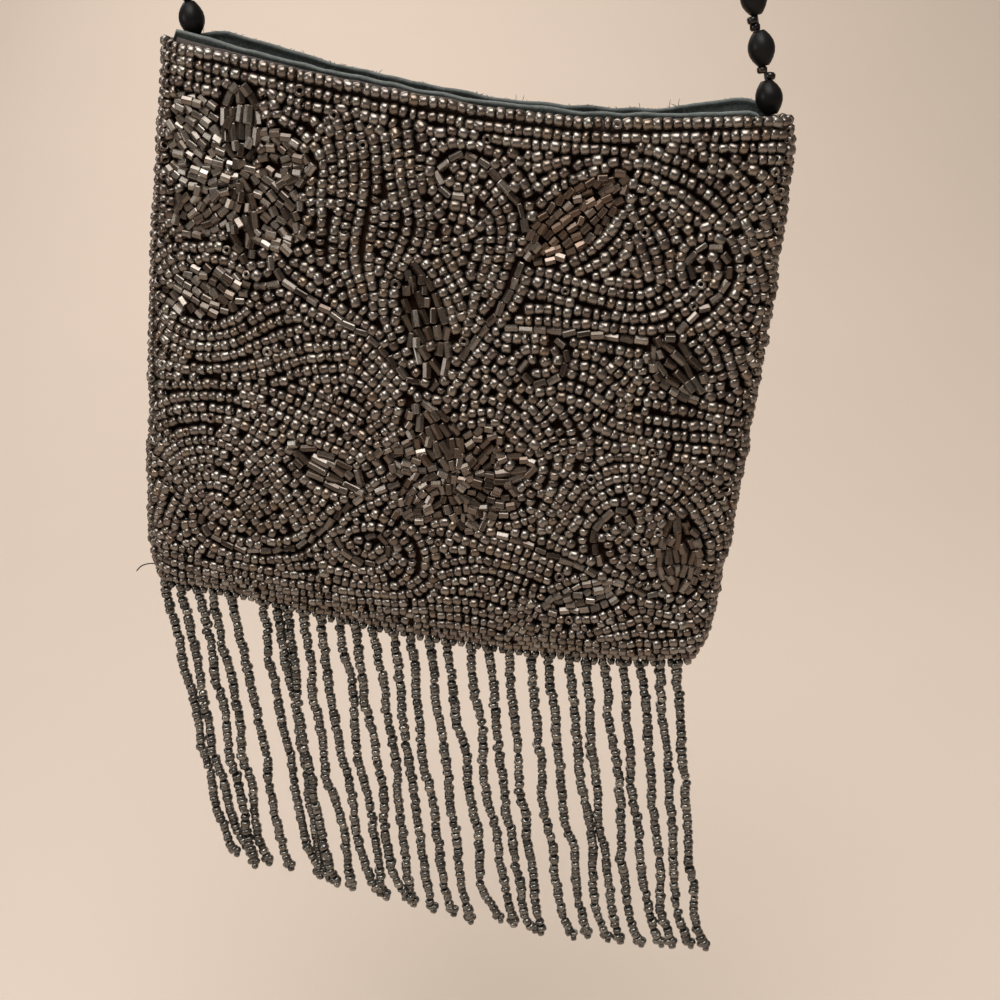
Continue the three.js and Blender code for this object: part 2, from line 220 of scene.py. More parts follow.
# Shares of a strand's wander at shares of its length: half-length wander, tip wander, forward
STRAND_COURSE = ((0, 0, 0, 0), (0.25, 0.6, 0, 0.2), (0.5, 1, 0, 0.5), (0.75, 0.5, 0.5, 0.8), (1, 0, 1, 1))
STRAND_LENGTH = 62.4
LEFT_SHORT = 2.6
STRAND_DROP = 1.3  # from the bottom seam down to the top of a strand
KINK_STEP = 6.0  # a strand kinks to and fro about this often, and this far
KINK = 0.36
HOOK_LENGTH = 8.0  # the tip of a strand bends to the right over this length, by no more than this
HOOK = 2.2
SLACK = 10.0  # a strand hangs straight at its top, and is free to kink from this far down
TIP_SPREAD = 0.3  # the three small beads of a tip stand this far apart, as shares of their width
TIP_DROP = 0.5
TIP_SIZE = 0.78
TIP_LEAN = 0.5  # two of them lean to the sides by this much
STRAND_SCATTER = 0.06  # spread of a strand's beads off its thread, as a share of their width
# The row of beads along the bottom seam: inset, drop, spread of its depth, and the way that its beads face
SEAM_INSET = 1.0
SEAM_DROP = 0.7
SEAM_SPREAD = 0.1
SEAM_OUT = (0.0, -0.6, -0.8)

# The strap runs from corner to corner over a peg, in the plane between the panels
PEG_RADIUS = 14.0
STRAP_ENDS = ((-49.0, 51.8), (49.0, 50.0))
OVAL_PITCH = 7.8
SMALL_PLACES = (0.26, 0.74)  # of the two small beads in a gap, and their length, as shares of the gap
SMALL_LENGTH = 0.5
SMALL_SCATTER = 0.3  # spread and most of how far a small bead stands off the thread
SMALL_ASIDE = 0.7
# Spreads of the sizes of the ovals and of the small beads, as shares
OVAL_SPREAD = 0.025
SMALL_SPREAD = 0.06
# Looks of the strap's beads: least and most tone, share of warm beads, and warmth of those and of the others
STRAP_TONES = (0.2, 1)
STRAP_WARMTHS = (0.2, (0.3, 0.7), (0, 0.1))
THREAD_STEP = 3.0  # between the rings of the strap's thread


def length_property(label, description, millimetres):
    """A length that a user may change, given in millimetres."""
    return FloatProperty(name=label, description=description, default=millimetres * MM, unit="LENGTH")


def colour_property(label, description, colour):
    """A linear colour that a user may change."""
    return FloatVectorProperty(
        name=label, description=description, default=colour, size=3, min=0, max=1, subtype="COLOR"
    )


def angle_property(label, description, degrees):
    """An angle that a user may change, given in degrees."""
    return FloatProperty(name=label, description=description, default=math.radians(degrees), subtype="ANGLE")


def power_property(label, description, watts):
    """The power of a light that a user may change."""
    return FloatProperty(name=label, description=description, default=watts, unit="POWER")


class BagSizes(bpy.types.PropertyGroup):
    """Sizes of the beads and cloths."""

    seed_diameter: length_property("Seed diameter", "Width of a seed bead across its thread", 1.98)
    seed_length: length_property("Seed length", "Length of a seed bead along its thread", 1.56)
    row_pitch: length_property("Row pitch", "Distance between neighbouring rows of seed beads", 1.86)
    fringe_seed: length_property("Fringe seed diameter", "Width of a seed bead on the fringe", 2.0)
    fringe_pitch: length_property("Fringe pitch", "Step from bead to bead along a strand", 1.2)
    oval_length: length_property("Oval length", "Length of an oval strap bead", 5.5)
    oval_diameter: length_property("Oval diameter", "Width of an oval strap bead", 4.3)
    strap_seed: length_property("Strap seed diameter", "Width of the small beads on the strap", 1.8)
    hem_height: length_property("Hem height", "Height of the folded hem on the lining", 1.1)
    thread: length_property("Thread", "Thickness of the beading thread", 0.5)


class BagColours(bpy.types.PropertyGroup):
    """Colours of the finishes."""

    gunmetal: colour_property("Gunmetal", "Metal coat of the seed beads", (0.305, 0.281, 0.242))
    gunmetal_dark: colour_property("Dark gunmetal", "Darkest seed beads", (0.08, 0.06, 0.043))
    bronze: colour_property("Bronze", "Warm seed beads among the others", (0.22, 0.165, 0.12))
    mauve: colour_property("Mauve", "Mauve bloom on the coats of the beads", (0.205, 0.165, 0.168))
    cut_grey: colour_property("Cut bead grey", "Bright cut beads", (0.36, 0.33, 0.29))
    cut_dark: colour_property("Cut bead dark", "Dark cut beads", (0.03, 0.026, 0.022))
    cut_brown: colour_property("Cut bead brown", "Brown cut beads", (0.125, 0.08, 0.053))
    # painted shade: the ground cloth's colour is darkened to stand for the shade between the beads; its
    # folded edge keeps a paler colour nearer the cloth's own
    ground_in_shade: colour_property("Ground cloth", "Cloth under the beads", (0.03, 0.012, 0.006))
    ground_edge: colour_property("Ground cloth edge", "Folded top edge of that cloth", (0.10, 0.082, 0.075))
    lining: colour_property("Lining", "Lining cloth", (0.042, 0.05, 0.047))
    # painted highlight: the paler lining colour that the top of the hem fold takes, where light catches it
    lining_lit_fold: colour_property("Worn lining", "Lining cloth on its folds", (0.26, 0.28, 0.265))
    pewter: colour_property("Pewter", "Fringe beads", (0.15, 0.141, 0.126))
    pewter_dark: colour_property("Dark pewter", "Darkest fringe beads", (0.03, 0.028, 0.026))
    black: colour_property("Black", "Oval strap beads", (0.006, 0.0056, 0.0054))
    thread: colour_property("Thread", "Beading thread", (0.02, 0.017, 0.015))
    floor: colour_property("Floor", "Studio floor", (0.70, 0.595, 0.51))


class BagStage(bpy.types.PropertyGroup):
    """Camera and light."""

    lens: FloatProperty(name="Lens", description="Focal length for a 36 mm sensor", default=45, unit="CAMERA")
    heading: angle_property("Heading", "Turn of the camera to the left", 8.607)
    pitch: angle_property("Pitch", "How far the camera looks down", 17.142)
    roll: angle_property("Roll", "Clockwise lean of the camera", 6.484)
    key_power: power_property("Key light", "Power of the key light", 3.8)
    top_power: power_property("Top light", "Power of the top light", 13)
    back_power: power_property("Back light", "Power of the floor's light", 13)
    fill_power: power_property("Side light", "Power of the side light", 1.6)
    floor_drop: length_property("Floor drop", "Depth of the floor under the peg", 640)


def to_world(points):
    """World metres of places given as millimetres across, out to the back, and up on the bag."""
    across, depth, up = np.moveaxis(np.asarray(points, float), -1, 0)
    x = BAG_MIDDLE[0] + across * math.cos(TILT) + up * math.sin(TILT)
    z = BAG_MIDDLE[1] - across * math.sin(TILT) + up * math.cos(TILT)
    return np.stack([x, depth, z], -1) * MM


def turned(vectors):
    """World directions of vectors given across, to the back, and up on the bag."""
    across, depth, up = np.moveaxis(np.asarray(vectors, float), -1, 0)
    x = across * math.cos(TILT) + up * math.sin(TILT)
    z = -across * math.sin(TILT) + up * math.cos(TILT)
    return np.stack([x, depth, z], -1)


def unit(vectors):
    """The vectors at length one."""
    return vectors / np.linalg.norm(vectors, axis=-1, keepdims=True)


def ramp(values, start, run):
    """A rise from 0 to 1 over a run of the values from a start."""
    return np.clip((values - start) / run, 0, 1)


def fade(values, run):
    """A fall from 1 to 0 as the values go from 0 to a run."""
    return np.clip(1 - values / run, 0, 1)


def between(grid, row, column):
    """A grid's values at rows and columns that may have fractions."""
    r, c = np.asarray(row).astype(int), np.asarray(column).astype(int)
    s, t = column - c, row - r
    low = grid[r, c] * (1 - s) + grid[r, c + 1] * s
    high = grid[r + 1, c] * (1 - s) + grid[r + 1, c + 1] * s
    return low * (1 - t) + high * t


def smooth_line(points, spacing=0.5):
    """A finely spaced smooth curve through the points."""
    ends = np.array([points[0], *points, points[-1]], float)
    stretches = []
    for before, first, second, after in zip(ends, ends[1:], ends[2:], ends[3:]):
        steps = max(2, round(float(np.linalg.norm(second - first)) / spacing))
        t = np.linspace(0, 1, steps, endpoint=False)[:, None]
        bend = 2 * before - 5 * first + 4 * second - after
        twist = 3 * first - before - 3 * second + after
        stretches.append(first + ((second - before) * t + bend * t**2 + twist * t**3) / 2)
    return np.vstack([*stretches, ends[-1:]])


def along(line, step, start=0.0):
    """Places at even steps along a line, and the line's direction at each."""
    strides = np.diff(line, axis=0)
    lengths = np.linalg.norm(strides, axis=1)
    run = np.concatenate([[0], np.cumsum(lengths)])
    at = np.arange(start, run[-1], step)
    which = np.clip(np.searchsorted(run, at, "right") - 1, 0, len(strides) - 1)
    share = (at - run[which]) / lengths[which]
    return line[which] + strides[which] * share[:, None], strides[which] / lengths[which, None]


class Wall:
    """One side of a packed cloth solid, read by rays along the depth on a grid of cloth millimetres."""

    STEP = 0.5
    ACROSS = np.arange(-58, 58.1, STEP)
    UP = np.arange(-55, 58.1, STEP)
    FAR = 60.0
    BLUR = 3
    EVEN = 3  # limits are evened over this many places to either side
    CORNER = 49.0
    HOLD = 2.0  # the side limits are held straight from this far inside the corners
    HALF_WIDTH = 50.0  # first guess for a net's sides, which a few rounds then fit to the wall
    NET_ROUNDS = 4
    PROBE = 1.5  # slopes are read this far to either side of a bead
    STEEPEST = 1.2

    def __init__(self, node, side):
        self.side = side
        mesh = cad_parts[node].data
        tree = BVHTree.FromPolygons([v.co for v in mesh.vertices], [p.vertices for p in mesh.polygons])
        outer = self.depths(tree, self.FAR, -side)
        hit = np.isfinite(outer)
        self.bottom, self.top = self.ends(hit.T, self.UP)
        middle = np.abs(self.ACROSS) < self.CORNER
        held = np.clip(self.UP, self.bottom[middle].max() + self.HOLD, self.top[middle].min() - self.HOLD)
        self.left, self.right = (np.interp(held, self.UP, limit) for limit in self.ends(hit, self.ACROSS))
        self.outer = self.evened(outer)
        self.inner = self.evened(self.depths(tree, 0.0, side))

    def depths(self, tree, start, way):
        """Depth out to the first face that a ray along the depth meets at each place, or not a number."""
        found = np.full((len(self.UP), len(self.ACROSS)), np.nan)
        ray = Vector((0, way, 0))
        for row, up in enumerate(self.UP):
            places = np.stack([self.ACROSS, np.full_like(self.ACROSS, self.side * start)], -1)
            origins = to_world(np.column_stack([places, np.full_like(self.ACROSS, up)]))
            for column, origin in enumerate(origins):
                place = tree.ray_cast(Vector(origin), ray)[0]
                if place is not None and place.y * self.side > 0:
                    found[row, column] = place.y * self.side / MM
        return found

    @classmethod
    def ends(cls, hit, places):
        """First and last place that was hit in each line of the grid, evened along the lines."""
        known = np.flatnonzero(hit.any(1))
        beyond = (places[1] - places[0]) / 2
        low = places[hit.argmax(1)[known]] - beyond
        high = places[::-1][hit[:, ::-1].argmax(1)[known]] + beyond
        lines = np.arange(len(hit))
        window = 2 * cls.EVEN + 1
        limits = []
        for limit in (low, high):
            limit = np.interp(lines, known, limit)
            limits.append(np.convolve(np.pad(limit, cls.EVEN, "edge"), np.ones(window) / window, "valid"))
        return limits

    def evened(self, grid):
        """The grid with its gaps filled from beside them and its facets smoothed."""
        known_rows = np.flatnonzero(np.isfinite(grid).any(1))
        filled = grid.copy()
        columns = np.arange(grid.shape[1])
        for row in known_rows:
            known = np.flatnonzero(np.isfinite(grid[row]))
            filled[row] = np.interp(columns, known, grid[row, known])
        nearest = known_rows[np.abs(np.arange(len(grid))[:, None] - known_rows).argmin(1)]
        filled = filled[nearest]
        for _ in range(self.BLUR):
            padded = np.pad(filled, 1, "edge")
            filled = (padded[:-2] + 2 * padded[1:-1] + padded[2:]) / 4
            filled = (filled[:, :-2] + 2 * filled[:, 1:-1] + filled[:, 2:]) / 4
        return filled

    def read(self, grid, across, up):
        """Values of a grid at cloth places."""
        column = np.clip((across - self.ACROSS[0]) / self.STEP, 0, len(self.ACROSS) - GRID_END)
        row = np.clip((up - self.UP[0]) / self.STEP, 0, len(self.UP) - GRID_END)
        return between(grid, row, column)

    def grid(self, rows, columns, inset=0.0, crowd=1.0):
        """Cloth places of a net over the wall, from its bottom to its top, where its rows may crowd."""
        share = np.linspace(-1, 1, columns)[None]
        height = 1 - np.linspace(1, 0, rows)[:, None] ** crowd
        across = share * np.ones((rows, 1)) * self.HALF_WIDTH
        for _ in range(self.NET_ROUNDS):
            low = np.interp(across, self.ACROSS, self.bottom) + inset
            high = np.interp(across, self.ACROSS, self.top) - inset
            up = low + (high - low) * height
            left, right = self.sides(up, inset)
            across = (left + right) / 2 + share * (right - left) / 2
        return across, up

    def sides(self, up, inset=0.0):
        """The left and right limits at given heights."""
        return np.interp(up, self.UP, self.left) + inset, np.interp(up, self.UP, self.right) - inset

    def stand(self, across, up, way, sink):
        """World centres, thread directions and outward directions for beads laid on the wall."""
        probe = self.PROBE
        depth = self.read(self.outer, across, up)
        slope_across = self.read(self.outer, across + probe, up) - self.read(self.outer, across - probe, up)
        slope_up = self.read(self.outer, across, up + probe) - self.read(self.outer, across, up - probe)
        slope = np.stack([slope_across, slope_up], -1) / (2 * probe)
        slope = np.clip(slope, -self.STEEPEST, self.STEEPEST)
        out = unit(np.stack([-slope[:, 0], np.full(len(across), self.side), -slope[:, 1]], -1))
        rise = self.side * (way * slope).sum(-1)
        thread = unit(np.stack([way[:, 0], rise, way[:, 1]], -1))
        surface = np.stack([across, self.side * depth, up], -1)
        return to_world(surface - out * np.asarray(sink)[:, None]), turned(thread), turned(out)


@lru_cache(maxsize=None)
def wall(node, side):
    """The wall of that node and side, read once."""
    return Wall(node, side)


class RowField:
    """The way that bead rows run at each place on the cloth, blended from the guide lines around it."""

    STEP = 1.0
    FALLOFF = 2.3
    SOFT = 1.5

    def __init__(self, guides):
        places, ways, weights = [], [], []
        for line, weight in guides:
            at, way = along(line, 1.0)
            places.append(at)
            ways.append(way)
            weights.append(np.full(len(at), weight))
        places, ways, weights = np.vstack(places), np.vstack(ways), np.concatenate(weights)
        turns = 2 * np.arctan2(ways[:, 1], ways[:, 0])
        self.low = np.array([Wall.ACROSS[0], Wall.UP[0]])
        across = np.arange(Wall.ACROSS[0], Wall.ACROSS[-1], self.STEP)
        up = np.arange(Wall.UP[0], Wall.UP[-1], self.STEP)
        self.turn = np.zeros((len(up), len(across), 2))
        for row, height in enumerate(up):
            near = (across[:, None] - places[:, 0]) ** 2 + (height - places[:, 1]) ** 2 + self.SOFT
            pull = weights / near**self.FALLOFF
            total = pull.sum(1)
            self.turn[row, :, 0] = pull @ np.cos(turns) / total
            self.turn[row, :, 1] = pull @ np.sin(turns) / total

    def at(self, across, up):
        """Direction of the rows at one cloth place."""
        column = min(max((across - self.low[0]) / self.STEP, 0), self.turn.shape[1] - GRID_END)
        row = min(max((up - self.low[1]) / self.STEP, 0), self.turn.shape[0] - GRID_END)
        cosine, sine = between(self.turn, row, column)
        angle = math.atan2(sine, cosine) / 2
        return math.cos(angle), math.sin(angle)


class BeadLayout:
    """Beads laid row by row on the flat cloth, each one clear of those laid before it."""

    CELL = 2.5
    SAME_ROW = 2  # so many neighbours in its own row are never in a bead's way
    STEP_SPREAD = 0.03
    # Room that a bead asks for, as shares of the row pitch: on a given line, at a row's start, and on a row
    LINE_ROOM = 0.42
    START_ROOM = 0.47
    ROW_ROOM = 0.44
    # Cut beads: gap from end to end, share of the width that must be free, and distance from the edges
    CUT_GAP = 0.15
    CUT_CROWD = 0.34
    CUT_EDGE = 2.0
    # Filling the gaps: steps of the search, height of the band looked at, and how well a bead must fit
    GAP_STEP = 0.4
    GAP_BAND = 3.0
    TIGHT = 0.78
    # Settling: rounds, reach in row pitches, strength of a push, its limits, and most move in from the edges
    PUSHES = 4
    PUSH_REACH = 1.5
    PUSH = 0.3
    LARGEST_PUSH = 0.3
    LEAST_APART = 0.2
    EDGE_PUSH = 0.5
    # Cut beads push too: room that they give a seed bead, in row pitches, and strength
    BLOCK_ROOM = 0.45
    BLOCK_PUSH = 0.4

    def __init__(self, room, field, pitch, row_pitch, rng):
        self.room = room
        self.field = field
        self.pitch = pitch
        self.row_pitch = row_pitch
        self.rng = rng
        self.cells = defaultdict(list)
        self.rows = 0
        self.seeds = []
        self.cuts = []

    def claim(self, across, up, radius, row, index=None):
        """Takes a round place for a bead of a row, or for part of a cut bead, which has no index."""
        key = (int(across // self.CELL), int(up // self.CELL))
        self.cells[key].append((across, up, radius, row, index))

    def is_clear(self, across, up, radius, row=-1, index=0):
        """True where no other bead is in the way. The last beads of the same row don't count."""
        column, line = int(across // self.CELL), int(up // self.CELL)
        for x in (column - 1, column, column + 1):
            for y in (line - 1, line, line + 1):
                for other in self.cells.get((x, y), ()):
                    reach = radius + other[2]
                    gap = (other[0] - across) ** 2 + (other[1] - up) ** 2
                    if gap < reach * reach and (other[3] != row or abs(other[4] - index) > self.SAME_ROW):
                        return False
        return True

    def lay(self, across, up, way, row, index):
        """Lays one seed bead."""
        self.claim(across, up, self.row_pitch / 2, row, index)
        self.seeds.append((across, up, way[0], way[1]))

    def lay_line(self, line):
        """Lays seed beads along a given line, where there is room for them."""
        self.rows += 1
        for index, (place, way) in enumerate(zip(*along(line, self.pitch))):
            across, up = place
            if self.is_clear(across, up, self.LINE_ROOM * self.row_pitch, self.rows, index):
                self.lay(across, up, way, self.rows, index)

    def lay_cuts(self, line, kind, tone, brown, crowd=CUT_CROWD, lift=0.0):
        """Lays cut beads end to end along a line, where there is room for them, or lifted onto others."""
        length, width, loose = CUTS[kind]
        reach = (length - width) / 2
        for place, way in zip(*along(line, length + self.CUT_GAP, length / 2)):
            swing = self.rng.normal(0, loose)
            way = np.array([
                way[0] * math.cos(swing) - way[1] * math.sin(swing),
                way[0] * math.sin(swing) + way[1] * math.cos(swing),
            ])
            spots = [place + way * offset for offset in (-reach, 0, reach)]
            clear = all(self.is_clear(x, y, crowd * width) for x, y in spots)
            if clear and self.room(*place) > self.CUT_EDGE:
                self.rows += 1
                for x, y in spots:
                    self.claim(x, y, width / 2, self.rows)
                self.cuts.append((*place, *way, length, width, tone, brown, lift))

    def grow(self, start):
        """Grows a row both ways from a start, as far as there is room, and gives back the row's places."""
        if self.room(*start) < 0 or not self.is_clear(*start, self.START_ROOM * self.row_pitch):
            return []
        self.rows += 1
        row = self.rows
        way = self.field.at(*start)
        self.lay(*start, way, row, 0)
        laid = [(start, way)]
        for sign in (1, -1):
            place, heading, index = start, (way[0] * sign, way[1] * sign), 0
            while True:
                index += sign
                step = self.pitch * (1 + self.rng.normal(0, self.STEP_SPREAD))
                middle = (place[0] + heading[0] * step / 2, place[1] + heading[1] * step / 2)
                ahead = self.field.at(*middle)
                if ahead[0] * heading[0] + ahead[1] * heading[1] < 0:
                    ahead = (-ahead[0], -ahead[1])
                place = (place[0] + ahead[0] * step, place[1] + ahead[1] * step)
                room = self.ROW_ROOM * self.row_pitch
                if self.room(*place) < 0 or not self.is_clear(*place, room, row, index):
                    break
                heading = ahead
                self.lay(*place, ahead, row, index)
                laid.append((place, ahead))
        return laid

    def fill(self, starts):
        """Grows rows from the starts, and beside each new row, until there is no room for more."""
        queue = deque(starts)
        while queue:
            for place, way in self.grow(queue.popleft()):
                for side in (1, -1):
                    shift = side * self.row_pitch
                    queue.append((place[0] - way[1] * shift, place[1] + way[0] * shift))

    def settle(self, fixed):
        """Adds beads in the gaps and lets all but the first, fixed beads push each other apart evenly."""
        beads = np.array(self.seeds)
        blocks = np.array([spot[:3] for spots in self.cells.values() for spot in spots if spot[4] is None])
        more = self.gaps(beads, blocks)
        if more:
            ways = [self.field.at(*place) for place in more]
            beads = np.vstack([beads, np.column_stack([more, ways])])
        self.seeds = self.spread(beads, blocks, fixed)

    def closeness(self, apart, ways):
        """Distances between beads as shares of those of beads that just touch, along and across the rows."""
        run = (apart * ways).sum(-1) / self.pitch
        aside = (apart[..., 1] * ways[..., 0] - apart[..., 0] * ways[..., 1]) / self.row_pitch
        return np.hypot(run, aside)

    def gaps(self, beads, blocks):
        """Places where one more bead nearly fits, the widest gaps first."""
        found = []
        across = np.arange(Wall.ACROSS[0], Wall.ACROSS[-1], self.GAP_STEP)
        for up in np.arange(Wall.UP[0], Wall.UP[-1], self.GAP_STEP):
            spots = np.column_stack([across, np.full_like(across, up)])
            spots = spots[[self.room(*spot) > 0 for spot in spots]]
            near = beads[np.abs(beads[:, 1] - up) < self.GAP_BAND]
            if not len(spots) or not len(near):
                continue
            clear = self.closeness(spots[:, None] - near[None, :, :2], near[None, :, 2:]).min(1)
            if len(blocks):
                apart = np.hypot(spots[:, :1] - blocks[:, 0], up - blocks[:, 1])
                clear = np.minimum(clear, (apart / (blocks[:, 2] + self.row_pitch / 2)).min(1))
            found += [(share, *spot) for share, spot in zip(clear, spots) if share > self.TIGHT]
        taken = []
        for _, x, y in sorted(found, reverse=True):
            if all(math.hypot(x - a, y - b) > self.TIGHT * self.row_pitch for a, b in taken):
                taken.append((x, y))
        return taken

    def spread(self, beads, blocks, fixed):
        """The beads after they have pushed each other, and the cut beads and the edges have pushed them."""
        tree = KDTree(len(beads))
        for index, bead in enumerate(beads):
            tree.insert((bead[0], bead[1], 0), index)
        tree.balance()
        pairs = [
            (index, other)
            for index, bead in enumerate(beads)
            for _, other, _ in tree.find_range((bead[0], bead[1], 0), self.PUSH_REACH * self.row_pitch)
            if other != index
        ]
        one, two = np.array(pairs).T
        for _ in range(self.PUSHES):
            apart = beads[one, :2] - beads[two, :2]
            share = self.closeness(apart, beads[one, 2:])
            push = np.zeros_like(beads[:, :2])
            strength = self.PUSH * np.clip(1 - share, 0, 1) / np.maximum(share, self.LEAST_APART)
            np.add.at(push, one, apart * strength[:, None])
            if len(blocks):
                push += self.block_push(beads, blocks)
            push[:fixed] = 0
            beads[:, :2] += np.clip(push, -self.LARGEST_PUSH, self.LARGEST_PUSH)
            for index in range(fixed, len(beads)):
                out = -self.room(*beads[index, :2])
                if out > 0:
                    beads[index, :2] *= 1 - min(out, self.EDGE_PUSH) / np.linalg.norm(beads[index, :2])
        for index in range(fixed, len(beads)):
            way = np.array(self.field.at(*beads[index, :2]))
            beads[index, 2:] = unit(way * np.sign(way @ beads[index, 2:]) + beads[index, 2:])
        return beads

    def block_push(self, beads, blocks):
        """How far the cut beads push each seed bead."""
        push = np.zeros_like(beads[:, :2])
        for x, y, radius in blocks:
            apart = beads[:, :2] - (x, y)
            distance = np.hypot(*apart.T)
            short = radius + self.BLOCK_ROOM * self.row_pitch - distance
            near = short > 0
            strength = self.BLOCK_PUSH * short[near] / np.maximum(distance[near], self.LEAST_APART)
            push[near] += apart[near] * strength[:, None]
        return push


LEAF_ENDS = (0.02, 0.98)  # rows and edges of a leaf keep between these shares of its length
LEAF_EDGE = 0.3  # turned rows stop this far inside its edge
LEAF_GAP = 0.12  # between the rows of a leaf
WIDEST = 0.85  # under 1, so that a leaf is widest a little before its middle
BLUNT = 0.6  # under 1, so that its sides are full


def leaf_frame(leaf):
    """Base, axis, side direction and length of a leaf."""
    base, tip = np.array(leaf.base, float), np.array(leaf.tip, float)
    length = float(np.linalg.norm(tip - base))
    axis = (tip - base) / length
    return base, axis, np.array([-axis[1], axis[0]]), length


def leaf_half(leaf, share):
    """Half width of a leaf at a share of its length, pointed at both ends."""
    return leaf.width / 2 * np.sin(np.pi * np.clip(share, 0, 1) ** WIDEST) ** BLUNT


def leaf_outline(leaf, grow):
    """Both edges of a leaf, from base to tip, grown outwards."""
    base, axis, side, length = leaf_frame(leaf)
    share = np.linspace(*LEAF_ENDS, 30)[:, None]
    half = leaf_half(leaf, share) + grow
    middle = base + axis * length * share
    return [middle + side * half, middle - side * half]


def leaf_rows(leaf):
    """Lines of cut beads that fill a leaf, along its edges, or straight where its rows are turned."""
    base, axis, side, length = leaf_frame(leaf)
    pitch = CUTS[leaf.bead].width + LEAF_GAP
    if leaf.turn == 0:
        share = np.linspace(*LEAF_ENDS, 40)[:, None]
        count = max(2, round(leaf.width / pitch))
        for offset in np.linspace(-1, 1, count) * (1 - pitch / leaf.width):
            yield base + axis * length * share + side * leaf_half(leaf, share) * offset
        return
    turn = math.radians(leaf.turn)
    reach = np.linspace(-length / 2, length / 2, 80)
    for offset in np.arange(-length / 2, length / 2, pitch):
        run = length / 2 + reach * math.cos(turn) - offset * math.sin(turn)
        aside = reach * math.sin(turn) + offset * math.cos(turn)
        kept = (np.abs(aside) < leaf_half(leaf, run / length) - LEAF_EDGE) & (run > 0) & (run < length)
        if kept.sum() > 3:
            yield base + axis * run[kept, None] + side * aside[kept, None]


def ring_faces(rings, sides, closed):
    """Four-cornered faces between rings of points, and from the last ring to the first where closed."""
    rows, columns = np.meshgrid(np.arange(rings if closed else rings - 1), np.arange(sides), indexing="ij")
    below, after = (rows + 1) % rings, (columns + 1) % sides
    corners = [rows * sides + columns, rows * sides + after, below * sides + after, below * sides + columns]
    return np.stack(corners, -1).reshape(-1, 4)


def lathe(section, sides, bevel=0.0):
    """Points and four-cornered faces of a closed section turned about the thread, which runs along X."""
    places = np.array(section)
    angles = np.arange(sides) * 2 * math.pi / sides
    if bevel:
        angles = (angles[:, None] + (-bevel, bevel)).ravel()
        sides = len(angles)
    ring = np.stack([np.ones(sides), np.cos(angles), np.sin(angles)], -1)
    points = np.concatenate([ring * (x, r, r) for x, r in places])
    return points, ring_faces(len(places), sides, True)


class Beads(NamedTuple):
    """Many beads of one kind: places and directions in the world, sizes in metres, and looks."""

    centre: np.ndarray
    thread: np.ndarray
    out: np.ndarray
    length: np.ndarray
    width: np.ndarray
    tone: np.ndarray
    warm: np.ndarray

    def part(self, kept):
        """Only the beads that are kept."""
        return Beads(*(values[kept] for values in self))


def gathered(groups):
    """Several groups of beads as one."""
    return Beads(*(np.concatenate(values) for values in zip(*groups)))


def rocked(beads, rng, kind):
    """The beads tipped a little on their thread, and turned about it."""
    tilt, roll = ROCKS[kind]
    side = np.cross(beads.out, beads.thread)
    lean = rng.normal(0, tilt, (len(side), 2))
    thread = unit(beads.thread + side * lean[:, :1] + beads.out * lean[:, 1:])
    out = unit(beads.out - thread * (beads.out * thread).sum(-1, keepdims=True))
    angle = rng.uniform(-roll, roll, len(side))[:, None]
    return beads._replace(thread=thread, out=out * np.cos(angle) + np.cross(thread, out) * np.sin(angle))


def bead_shape(beads, section, sides, bevel):
    """Points and faces of all the beads."""
    shape, faces = lathe(section, sides, bevel)
    out = unit(beads.out - beads.thread * (beads.out * beads.thread).sum(-1, keepdims=True))
    side = np.cross(out, beads.thread)
    along_thread = beads.thread[:, None] * (beads.length[:, None] * shape[:, 0])[..., None]
    radius = beads.width[:, None, None] / 2
    around = side[:, None] * shape[:, 1:2] + out[:, None] * shape[:, 2:3]
    points = beads.centre[:, None] + along_thread + radius * around
    offsets = np.arange(len(points))[:, None, None] * len(shape)
    return points.reshape(-1, 3), (faces + offsets).reshape(-1, 4), len(shape)


def piece(name, points, faces, material, smooth=True):
    """A new mesh object of four-cornered faces that rides on the bag."""
    mesh = bpy.data.meshes.new(name)
    mesh.vertices.add(len(points))
    mesh.vertices.foreach_set("co", np.asarray(points, np.float32).ravel())
    mesh.loops.add(faces.size)
    mesh.loops.foreach_set("vertex_index", np.asarray(faces, np.int32).ravel())
    mesh.polygons.add(len(faces))
    mesh.polygons.foreach_set("loop_start", np.arange(0, faces.size, 4, dtype=np.int32))
    mesh.update(calc_edges=True)
    mesh.polygons.foreach_set("use_smooth", np.full(len(faces), smooth))
    mesh.materials.append(material)
    made = bpy.data.objects.new(name, mesh)
    bpy.context.scene.collection.objects.link(made)
    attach(made, BODY)
    return made


def mark(made, name, values):
    """Keeps one number for each point of a piece, for its material to read."""
    attribute = made.data.attributes.new(name, "FLOAT", "POINT")
    attribute.data.foreach_set("value", np.asarray(values, np.float32))


def bead_piece(name, beads, section, sides, material, bevel=0.0):
    """One piece of many beads, round or cut, with each bead's tone and warmth kept on its points."""
    points, faces, each = bead_shape(beads, section, sides, bevel)
    made = piece(name, points, faces, material, not bevel)
    mark(made, "tone", np.repeat(beads.tone, each))
    mark(made, "warm", np.repeat(beads.warm, each))
    return made


def sheet_shape(outer, inner):
    """Points and faces of a cloth between two nets of points, closed round its edges."""
    rows, columns = outer.shape[:2]
    index = np.arange(rows * columns).reshape(rows, columns)
    front = np.stack([index[:-1, :-1], index[:-1, 1:], index[1:, 1:], index[1:, :-1]], -1).reshape(-1, 4)
    back = front[:, ::-1] + rows * columns
    rim = np.concatenate([index[0], index[1:, -1], index[-1, -2::-1], index[-2:0:-1, 0]])
    after = np.roll(rim, -1)
    border = np.stack([after, rim, rim + rows * columns, after + rows * columns], -1)
    return np.concatenate([outer.reshape(-1, 3), inner.reshape(-1, 3)]), np.concatenate([front, back, border])


THREAD_SIDES = 6
THREAD_END = np.array([[0, 1, 2, 5], [5, 2, 3, 4]])  # faces that close the first ring of a thread
THREAD_TAPER = 0.3
NEARLY_ALONG = 0.9  # a thread this near to the depth axis takes its sides from another axis


